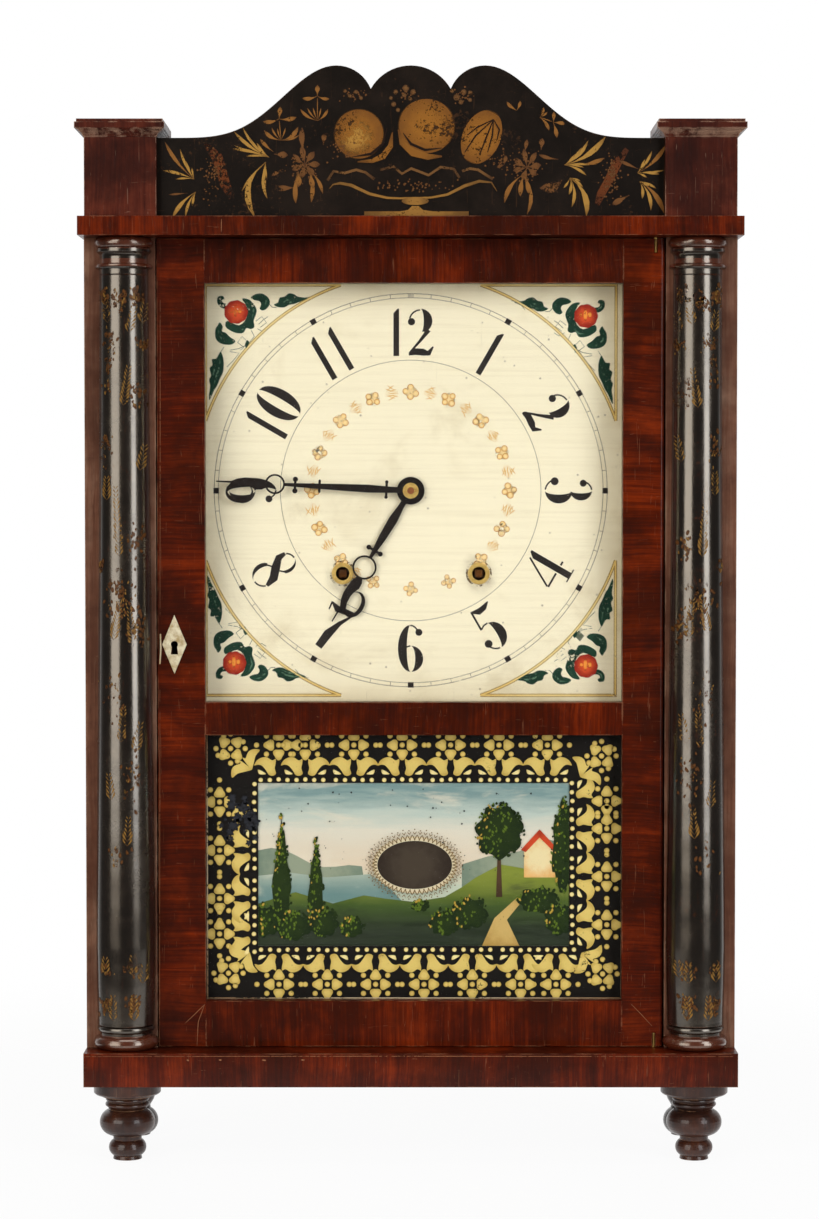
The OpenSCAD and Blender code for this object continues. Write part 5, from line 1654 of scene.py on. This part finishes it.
@dataclass(frozen=True)
class SplatWork:
    """The stencilled compote of fruit, the sprays and the flowers on the splat.

    The tables hold the photograph's pixels, and widths and radii in mm.
    """

    y: float = -52.0
    peel: tuple[tuple, ...] = (
        (((357.6, 161.8), (372, 161.0), (383, 156.4), (390.5, 146), (392.4, 132.3)),
         (0.8, 2.6, 4.0, 3.4, 0.8)),
        (((398.4, 129.6), (402, 143), (413, 152.5), (428, 156.8), (442, 156.4)),
         (1.0, 3.6, 5.0, 4.0, 1.0)),
    )
    rust: tuple[tuple, ...] = (
        (((205, 143.6), (217, 157), (222, 172), (225, 184), (232, 198)), (3, 7, 6.4, 6.6, 4)),
        (((627, 149), (617, 163), (609, 180), (601, 194), (597, 205)), (3, 6, 5.6, 5.4, 3)),
    )
    ribs: tuple[tuple, ...] = (
        (467.4, 135), (464.7, 152.4), (479.5, 155.1), (487.5, 152.4), (497, 140))
    berries: tuple[tuple, ...] = (
        (405.8, 88.1, 2.2), (413.2, 92.1, 1.9), (395.8, 92.1, 1.6), (404, 95, 1.5),
        (410, 99, 1.5), (456.7, 97.5, 2.2), (463.4, 92.1, 2.1), (470.1, 93, 1.7),
        (452, 91, 1.4), (461, 102, 1.7), (393.7, 104.2, 1.7), (398, 110, 1.4), (391, 98, 1.3),
        (470, 100, 1.4), (350, 96, 1.5), (356, 92, 1.4), (345, 91, 1.2), (361, 98, 1.3))
    stems: tuple[tuple, ...] = (
        ((279.3, 121), (280.9, 139)), ((317.4, 98), (317.5, 119)), ((541, 117.6), (552, 121.6)))
    # Each cloud of dust: its pixel, its motes, and its half width and height.
    dust: tuple[tuple, ...] = (
        (213, 172, 90, 9, 20), (612, 178, 90, 9, 18), (305, 168, 70, 14, 12),
        (525, 168, 70, 14, 12), (340, 150, 36, 10, 9), (500, 160, 36, 10, 9),
        (405, 96, 26, 9, 7), (463, 96, 26, 8, 6), (413, 186, 60, 34, 5), (355, 94, 24, 10, 6))
    # Each fruit: its pixel, its half width and height in mm and its turn.
    fruit: tuple[tuple, ...] = (
        (358.9, 134, 16.4, 16.0, 0), (426.6, 126, 18.6, 17.4, 0), (481.5, 137, 12.2, 18.2, -24))
    shades: tuple[tuple, ...] = (
        (((352, 157), (371, 154), (383, 144), (387, 128)), (0.4, 1.8, 1.8, 0.4)),
        (((403, 133), (411, 144), (425, 150), (442, 148)), (0.4, 1.7, 1.7, 0.4)))
    bowl: tuple[tuple, ...] = (
        ((327.5, 180.5), (333.5, 171.2), (344.2, 173.2), (356.2, 169.8), (365.6, 172.5),
         (374.3, 179.2)),
        ((380.4, 169.8), (393.7, 166.5), (401.8, 173.8), (411.2, 168.5), (428.6, 175.2),
         (440.6, 167.1), (454, 169.1), (459.4, 177.9)),
        ((462, 171.2), (470, 168.6), (478.1, 169.8), (492.8, 179.2)))
    lip: tuple[Point, ...] = (
        (329.5, 188.6), (333, 184.6), (340.2, 183.2), (350.9, 185.2), (369.6, 193.9),
        (387, 197.9), (400.4, 198.4), (431.2, 197.6), (447.3, 194.6), (464.7, 185.9),
        (479.5, 181.2), (491.5, 182.5), (496.9, 191.2))
    foot: tuple[tuple, ...] = (
        ((391, 213), (408, 210), (412, 206), (418.5, 206), (423, 210), (444.6, 213)),
        ((364.3, 211.4), (468.7, 211.4), (468.7, 215.6), (364.3, 215.6)))

    def line(self, pixels: Iterable[Point]) -> list[Point]:
        """Turns a line of pixels into places on the splat."""
        return [EYE.at(px, py, self.y) for px, py in pixels]

    def painter(self, lift: float) -> Painter:
        """Starts work that stands off the splat by lift."""
        return Painter(Flat(self.y), Body.CASE, lift)

    def sprays(self) -> None:
        """Stencils the sprays and flowers, the rusty horns and the scattered bronze."""
        for name, lift, rows, finish in (("worn", 0.02, WORN_SPRAYS, BRONZE_WORN),
                                         ("bronze", 0.1, BRONZE_SPRAYS, BRONZE),
                                         ("gilt", 0.18, GILT_SPRAYS, GILT)):
            work = self.painter(lift)
            for foot, *tips in rows:
                for px, py, width, sag in tips:
                    work.draw(blade(*self.line((foot, (px, py))), 0.72 * width, sag))
            if name == "bronze":
                for stem in self.stems:
                    work.draw(stroke(self.line(stem), 0.5))
            work.finish(f"splat_sprays_{name}", finish)
        dice = random.Random(2)
        stain, dust, motes = self.painter(0.02), self.painter(0.26), []
        for pixels, widths in self.rust:
            stain.draw(stroke(self.line(pixels), widths))
        stain.finish("splat_horns", RUST)
        for px, py, count, wide, high in self.dust:
            for _ in range(count):
                motes.append((*EYE.at(dice.gauss(px, wide * 0.6), dice.gauss(py, high * 0.6),
                                      self.y), 0, dice.uniform(0.5, 1.2)))
        dust.print(Shop.motif(petals(0.62, 3, 0.2, 9)), motes)
        dust.finish("splat_worn_dust", BRONZE_WORN)

    def compote(self) -> None:
        """Stencils the fruit, its bowl and the foot."""
        fruit, glow, ribs, rim = (self.painter(v) for v in (0.1, 0.2, 0.3, 0.34))
        for px, py, half_w, half_h, turn in self.fruit:
            fruit.print(Shop.motif(oval(half_w, half_h, count=36)),
                        [(*EYE.at(px, py, self.y), turn, 1.0)])
        fruit.finish("splat_fruit", FRUIT_BRONZE)
        for pixels, widths in self.peel:
            glow.draw(stroke(self.line(pixels), widths))
        glow.finish("splat_fruit_peel", PEEL)
        glow.print(Shop.motif(oval(12.4, 12.0, count=28)), [(*EYE.at(356, 137, self.y), 0, 1.0)])
        glow.finish("splat_fruit_bloom", BLOOM)
        top = (493.5, 119.5)
        for px, py in self.ribs:
            bow = ((top[0] + px) / 2 + (px - 480) * 0.24, (top[1] + py) / 2)
            ribs.draw(stroke(self.line((top, bow, (px, py))), [0.5, 1.0, 0.5]))
        for pixels, widths in self.shades:
            ribs.draw(stroke(self.line(pixels), widths))
        ribs.finish("splat_fruit_ribs", RIB_SHADOW)
        for px, py, radius in self.berries:
            glow.draw(oval(radius, radius, EYE.at(px, py, self.y), 12))
        for pixels in self.bowl:
            glow.draw(stroke(self.line(pixels), 1.7))
        glow.finish("splat_berries_and_rim", BOWL_WORN)
        rim.draw(stroke(self.line(self.lip), [0.4, 0.9, 1.7, 2.0, 1.8, 1.4, 1.2, 1.2, 1.6, 2.0,
                                              1.8, 1.0, 0.4]))
        rim.draw(oval(8.8, 2.6, EYE.at(415.2, 201, self.y), 24))
        for pixels in self.foot:
            rim.draw(self.line(pixels)[::-1])
        rim.finish("splat_bowl_gilt", BOWL_GILT)

    def build(self) -> None:
        """Stencils all of the splat."""
        self.sprays()
        self.compote()


@dataclass
class ColumnWork:
    """The worn stencilling on the two half columns, placed by the photograph's pixels."""

    centre_x: float = 186.5
    face_y: float = -40.0
    low_z: float = 91.0
    high_z: float = 577.4
    radii: tuple[float, float, float] = (18.7, 19.6, 16.0)
    axis_px: float = 125.0
    # Each fern: its foot's pixels from the axis and row, its length in mm and its lean.
    ferns: tuple[tuple, ...] = (
        (3, 332, 20, 12), (-18, 322, 14, -8), (16, 322, 14, 8), (-2, 405, 26, 8),
        (-6, 556, 46, -3), (-19, 500, 16, 0), (14, 470, 18, 10), (-12, 640, 26, 10),
        (8, 646, 26, -6), (-4, 742, 24, 4), (10, 752, 20, 10), (-14, 800, 18, -6),
        (2, 846, 20, 3), (-12, 1021, 17, 0), (9, 1021, 17, 0), (-20, 975, 12, 0),
        (8, 976, 14, 0), (17, 984, 12, 6))
    # Each worn cluster: its middle's pixels from the axis and row, spread and dabs.
    clouds: tuple[tuple, ...] = (
        (-22, 298, 4, 9, 30), (-6, 303, 7, 10, 50), (11, 297, 6, 9, 40), (-15, 345, 6, 12, 24),
        (17, 346, 5, 6, 20), (-18, 380, 5, 20, 20), (12, 396, 6, 16, 24), (-20, 452, 5, 22, 24),
        (-26, 568, 4, 6, 12), (10, 545, 8, 20, 30), (-4, 600, 12, 22, 70), (12, 632, 8, 14, 40),
        (-10, 700, 10, 22, 26), (6, 780, 10, 24, 34), (-8, 860, 10, 20, 16),
        (-18, 1008, 6, 9, 44), (9, 1008, 6, 9, 44), (-20, 972, 6, 7, 14), (10, 972, 7, 7, 18))

    def build(self) -> None:
        """Stencils both columns, the right one as a mirror image."""
        for side, name in ((-1, "left"), (1, "right")):
            surface = Round(side * self.centre_x, self.face_y, self.low_z, self.high_z,
                            *self.radii)
            self.stencil(surface, side, name)

    def stencil(self, surface: Round, side: int, name: str) -> None:
        """Stencils one column.

        Args:
            surface: The column's front.
            side: -1 for the left one, 1 for the right one.
            name: The side's name.
        """
        dice = random.Random(11 + side)
        gold, rust = Painter(surface, Body.CASE, 0.1), Painter(surface, Body.CASE, 0.05)
        blades, dabs, glints = [], [], []
        front = self.face_y - self.radii[0]
        for off, row, length, lean in self.ferns:
            across = EYE.at(self.axis_px + off, row, front)[0] + self.centre_x
            foot = EYE.at(self.axis_px, row + (0 if side < 0 else 9 * math.sin(row)), front)[1]
            across *= -side
            lean *= -side
            pairs = int(length / 2.6)
            for k in range(pairs):
                t = k / pairs
                run = math.radians(90 - lean)
                at = (across + length * t * math.cos(run), foot + length * t * math.sin(run))
                size = (1 - 0.55 * t) * dice.uniform(0.8, 1.1)
                blades += [(*at, 90 - lean + flip * 30, size, flip) for flip in (-1, 1)]
        for off, row, wide, high, count in self.clouds:
            at = EYE.at(self.axis_px + off, row, front)
            for _ in range(count):
                spot = (-side * (at[0] + self.centre_x + dice.gauss(0, wide * 0.4)),
                        at[1] + dice.gauss(0, high * 0.34))
                store = glints if dice.random() < 0.3 else dabs
                store.append((*spot, dice.uniform(60, 120), dice.uniform(0.6, 1.25)))
        rust.print(Shop.motif(leaf(3.4, 1.7, 0.2, 9)), dabs)
        rust.finish(f"column_{name}_stencil_worn", COLUMN_RUST)
        gold.print(Shop.motif(blade((0, 0), (6.4, 0), 1.25, 0.06)), blades)
        gold.print(Shop.motif(leaf(2.2, 0.8, 0.1, 7)), glints)
        gold.finish(f"column_{name}_stencil_gilt", COLUMN_GOLD)


@dataclass(frozen=True)
class WearWork:
    """Joints, scratches and chips of the veneer, placed by the photograph's pixels."""

    base_y: float = -64.0
    door_y: float = -40.0
    splat_board_y: float = -64.0

    def build(self) -> None:
        """Draws the marks on the base, the top board and the door."""
        marks = (
            ("base_marks", self.base_y, Body.CASE, JOINT,
             ((((84, 1056.5), (400, 1056.2), (733, 1056.5)), 0.35),
              (((186.5, 1060), (189, 1060.6)), 1.0), (((219, 1060), (221.5, 1060)), 0.9),
              (((262, 1060), (266, 1060.4)), 0.9), (((301, 1060), (304.5, 1060)), 0.9))),
            ("top_board_marks", self.splat_board_y, Body.CASE, JOINT,
             ((((221.5, 219), (221.2, 232)), 0.4),)),
            ("door_marks", self.door_y, Body.DOOR, JOINT,
             ((((197, 1046), (198.2, 1022), (204.6, 1004.5)), 0.35),
              (((204.6, 1004.5), (196, 1013), (185, 1023.4)), 0.35),
              (((160.2, 300), (160.0, 616)), 0.3), (((159.9, 690), (159.6, 1042)), 0.3),
              (((631, 1004), (640, 1013), (652, 1026)), 0.3))),
            ("door_chip", self.door_y, Body.DOOR, CHIP,
             ((((160.4, 634), (160.9, 648), (159.9, 664)), 0.9),)),
        )
        for name, y, body, finish, lines in marks:
            work = Painter(Flat(y), body, 0.01)
            for pixels, width in lines:
                work.draw(stroke([EYE.at(px, py, y) for px, py in pixels], width))
            work.finish(name, finish)


NUMBER_PAINT = Painted("Charcoal numbers", *hues("2b2623 342e2a"), loss=0.1)
LINE_PAINT = Painted("Thin dial lines", *hues("5c5244 685c4c"), loss=0.16)
SMUDGE = Painted("Smudges on the dial", *hues("463828 786448"), loss=0.5)
WREATH_DARK = Painted("Wreath rings", *hues("d8a45a ce964c"), loss=0.24)
WREATH_GOLD = Painted("Wreath hearts", *hues("f8dea4 f4ce88"), loss=0.2, rough=0.4)
WREATH_STROKE = Painted("Wreath strokes", *hues("e6ba70 deb066"), loss=0.12)
WREATH_BLOT = Painted("Wreath stains", *hues("f0d298 f0d6a4"), loss=0.42, soft=0.7)
BORDER_DARK = Painted("Gilt border edges", *hues("b2924e 987438"), loss=0.16)
BORDER_GOLD = Painted("Gilt border", *hues("f0d896 e6c474"), loss=0.1, rough=0.38)
LEAF_PAINT = Painted("Dial leaves", *hues("1a382a 204432"), loss=0.22)
LEAF_LIGHT = Painted("Light on the dial leaves", *hues("608068 3c604e"), loss=0.6)
TENDRIL = Painted("Dial tendrils", *hues("606854 7e806c"), loss=0.34)
FRUIT_PAINT = Painted("Red fruit", *hues("dc542c 9e281c"), loss=0.06)
FRUIT_LIGHT = Painted("Light on the fruit", *hues("f6a042 e86830"), loss=0.3, soft=0.4)
STENCIL_GOLD = Painted("Tablet stencil", *hues("dec46e c4a652"), loss=0.14, rough=0.5)
STENCIL_PALE = Painted("Tablet stencil highlights", *hues("f0e09e dac276"), loss=0.14, rough=0.5)
FLAKED = Painted("Flaked paint", *hues("282a30 181618"), loss=0.3, rough=0.6)
OVAL_COLLAR = Painted("Oval collar", *hues("e2d6b6 dcceaa"), loss=0.12)
OVAL_LACE = Painted("Oval lace", *hues("84683a 604a28"), loss=0.16)
# Painted shade: a brown-grey sheet for the dim inside of the case seen through the oval.
OVAL_SHADE_SHEET = Painted("Oval haze", *hues("463c30 30261e"), loss=0.05, rough=0.6)
EDGE_LINE = Painted("Pale line at the glass", *hues("ceb696 967454"), loss=0.4)
TABLET_BLACK = Painted("Tablet ground", *hues("0e0b08 120e0a"), loss=0.02, rough=0.6)
PICTURE_SKY = Sky("Picture sky", 170.0, 246.0, ((0.0, srgb("c4ceb8")), (0.18, srgb("e4d2b6")),
                  (0.62, srgb("e2dcc8")), (0.84, srgb("beccc0")), (1.0, srgb("7a9896"))),
                  srgb("e8dec6"))
HILL_FAR = Painted("Far hills", *hues("96a088 768876"), loss=0.03)
WATER = Sky("Picture water", 170.0, 196.0, ((0.0, srgb("688a86")), (1.0, srgb("bac4b0"))),
            srgb("d6d6be"))
MEADOW = Sky("Picture meadow", 146.0, 190.0, ((0.0, srgb("162408")), (0.4, srgb("3a5210")), (1.0,
             srgb("828e2c"))), srgb("101e08"))
PATH = Painted("Picture path", *hues("ceae68 b08c46"), loss=0.06)
BARN = Painted("Picture barn", *hues("f0deaa e8b268"), loss=0.03)
BARN_ROOF = Painted("Picture roof", *hues("ce4a28 a0341e"), loss=0.04)
TRUNK = Painted("Picture trunks", *hues("543e2a 423020"), loss=0.05)
FOLIAGE = Painted("Picture foliage", *hues("263614 1a2812"), loss=0.04)
FOLIAGE_LIGHT = Painted("Lit foliage", *hues("5c7222 42581a"), loss=0.12)
FOLIAGE_GOLD = Painted("Golden foliage", *hues("be9e42 967c2c"), loss=0.12)
GILT = Painted("Bright gilt stencil", *hues("ae823c 785426"), loss=0.24, rough=0.5)
BRONZE = Painted("Bronze stencil", *hues("8e5e2a 64401e"), loss=0.3, rough=0.5)
BRONZE_WORN = Painted("Worn bronze stencil", *hues("704824 4e301a"), loss=0.36, rough=0.55)
RUST = Painted("Rusty stencil", *hues("683414 482410"), loss=0.5, rough=0.55)
FRUIT_BRONZE = Painted("Bronze fruit", *hues("986222 7a4c1c"), loss=0.26, rough=0.5, soft=0.08)
PEEL = Painted("Lit peel", *hues("8c5a20 623c18"), loss=0.3, rough=0.5)
BLOOM = Painted("Bloom on the fruit", *hues("b08038 845824"), loss=0.55, rough=0.5, soft=0.35)
RIB_SHADOW = Painted("Ribs of the fruit", *hues("1e110a 28180e"), loss=0.12)
BOWL_WORN = Painted("Worn bowl stencil", *hues("74502c 4e341e"), loss=0.4)
BOWL_GILT = Painted("Bowl gilt", *hues("9a6e32 6e4c24"), loss=0.26, rough=0.5)
COLUMN_RUST = Painted("Worn column stencil", *hues("623c1a 3e2614"), loss=0.44, rough=0.4)
COLUMN_GOLD = Painted("Column stencil gilt", *hues("8e682e 624220"), loss=0.42, rough=0.4)
JOINT = Painted("Veneer joints", *hues("966242 784a32"), loss=0.34)
CHIP = Painted("Bare chip", *hues("d8c4a0 bea47c"), loss=0.02)


class Dressing:
    """Gives every CAD node the finish of its real material."""

    # Each finish with its nodes.
    groups: tuple[tuple[Finish, str], ...] = (
        (PINE, "backboard case_rails"),
        (VENEER_UP, "side_left side_right base_board top_board door_rail_top "
                    "door_rail_middle door_rail_bottom"),
        (VENEER_CROSS, "door_stile_left door_stile_right"),
        (VENEER_STILE_SHEEN, "stile_left stile_right"),
        (VENEER_BLOCK_SHEEN, "block_left block_right block_caps"),
        (TURNED, "feet_front feet_rear"),
        (LACQUER, "column_left column_right"),
        (SPLAT_PAINT, "splat"),
        (DIAL, "dial_board"),
        (BRASS, "winding_ferrules hinge_pins hand_pin escape_wheel pendulum_bob"),
        (GLASS, "door_glass"), (TABLET, "tablet_glass"), (PUTTY, "glazing_strips"),
        (BONE, "escutcheon"), (IRON, "minute_hand hour_hand lock_case lock_bolt"),
        (CAST_IRON, "weight_left weight_right"), (BELL_METAL, "bell"),
        (WIRE, "hammer verge suspension_stud pendulum_rod"),
        (OAK, "front_plate back_plate"),
        (CHERRY, "going_great_wheel second_wheel third_wheel minute_arbor motion_wheel "
                 "hour_wheel strike_great_wheel pin_wheel warning_wheel fly count_wheel"),
        (LAUREL, "plate_pillars going_drum strike_drum pulley_left pulley_right"),
    )

    def apply(self) -> None:
        """Puts each finish on its nodes."""
        for finish, names in self.groups:
            for name in names.split():
                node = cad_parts[name]
                node.data.materials.clear()
                node.data.materials.append(finish.material())
        dressed = sum(len(names.split()) for _, names in self.groups)
        LOG.info("dressed %d of %d nodes", dressed, len(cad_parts))


@dataclass
class Studio:
    """The photographer's studio: a pale floor, a white backdrop and soft lamps."""

    floor_size: float = 6.0
    level: float = 0.8
    front: float = 0.07

    def lamp(self, name: str, place: Triple, size: Point, power: float, colour: Colour) -> None:
        """Hangs a soft lamp that looks at the clock.

        Args:
            name: Its name.
            place: Where it hangs, in metres.
            size: Its width and height, in metres.
            power: Its power, in watts.
            colour: Its colour.
        """
        data = bpy.data.lights.new(name, "AREA")
        data.shape = "RECTANGLE"
        data.size, data.size_y = size
        data.energy = power
        data.color = colour
        made = bpy.data.objects.new(name, data)
        made.location = place
        aim = Vector((0, 0, 0.36)) - Vector(place)
        made.rotation_euler = aim.to_track_quat("-Z", "Y").to_euler()
        bpy.context.scene.collection.objects.link(made)

    @staticmethod
    def seen(graph: Graph, mirrored_share: object) -> Socket:
        """Gives where plain white shows: to the camera, through glass, and partly mirrored.

        Args:
            graph: The graph.
            mirrored_share: How much of it a mirrored ray sees.

        Returns:
            The share of white.
        """
        path = graph.node("LightPath").outputs
        return graph.most(graph.most(path["Is Camera Ray"], path["Is Transmission Ray"]),
                          graph.times(path["Is Glossy Ray"], mirrored_share))

    def world(self) -> None:
        """Lights the scene plainly and shows white to the camera and the glass."""
        made = bpy.data.worlds.new("Studio")
        made.use_nodes = True
        graph = Graph(made.node_tree)
        y_axis = graph.parts(graph.place(source="Generated"))[1]
        tone = graph.mix(graph.between(y_axis, 0.2, 0.9), (self.front,) * 3, (self.level,) * 3)
        choose = graph.node("MixShader", self.seen(graph, graph.between(y_axis, 0.45, 0.85)),
                            graph.node("Background", tone).outputs[0],
                            graph.node("Background", (1, 1, 1)).outputs[0])
        graph.node("OutputWorld", choose.outputs[0])
        bpy.context.scene.world = made

    def floor(self) -> None:
        """Lays the pale floor, which fades out into the backdrop."""
        Shop.clear()
        bpy.ops.mesh.primitive_plane_add(size=self.floor_size)
        made = bpy.context.object
        made.name = made.data.name = "studio_floor"
        bpy.ops.object.mode_set(mode="EDIT")
        bpy.ops.mesh.subdivide(number_cuts=6)
        bpy.ops.object.mode_set(mode="OBJECT")
        finish = bpy.data.materials.new("Studio floor")
        finish.use_nodes = True
        graph = Graph(finish.node_tree)
        where = graph.place()
        near = graph.between(graph.parts(where)[1], -0.52, -0.27)
        cloudy = graph.between(graph.noise(where, 2.0, 2.0), 0.3, 0.7, 0.97, 1.0)
        tone = graph.mix(graph.times(near, cloudy), (0.1,) * 3, (0.93,) * 3)
        shader = graph.wire(graph.node("BsdfPrincipled"), Roughness=0.5, Base_Color=tone)
        both = graph.node("MixShader", graph.times(self.seen(graph, near), 0.94),
                          shader.outputs[0], graph.node("Emission").outputs[0])
        fade = graph.node("MixShader", graph.between(graph.vector("LENGTH", where), 0.85, 0.36),
                          graph.node("BsdfTransparent").outputs[0], both.outputs[0])
        graph.node("OutputMaterial", fade.outputs[0])
        made.data.materials.append(finish)

    def build(self) -> None:
        """Sets up the studio."""
        bpy.context.scene.view_settings.view_transform = "Standard"
        self.world()
        self.floor()
        self.lamp("Warm window", (-1.54, -1.8, 0.95), (1.6, 2.0), 37, (1.0, 0.96, 0.9))
        self.lamp("Cool window", (1.53, -1.64, 0.95), (0.95, 2.0), 33, (0.95, 0.97, 1.0))
        self.lamp("Top", (0.0, -0.3, 2.4), (1.6, 1.0), 12, (1.0, 1.0, 1.0))


def main() -> None:
    """Builds the whole picture."""
    Dressing().apply()
    DialWork().build()
    TabletWork().build()
    SplatWork().build()
    ColumnWork().build()
    WearWork().build()
    Studio().build()
    EYE.build()


if __name__ == "__main__":
    main()
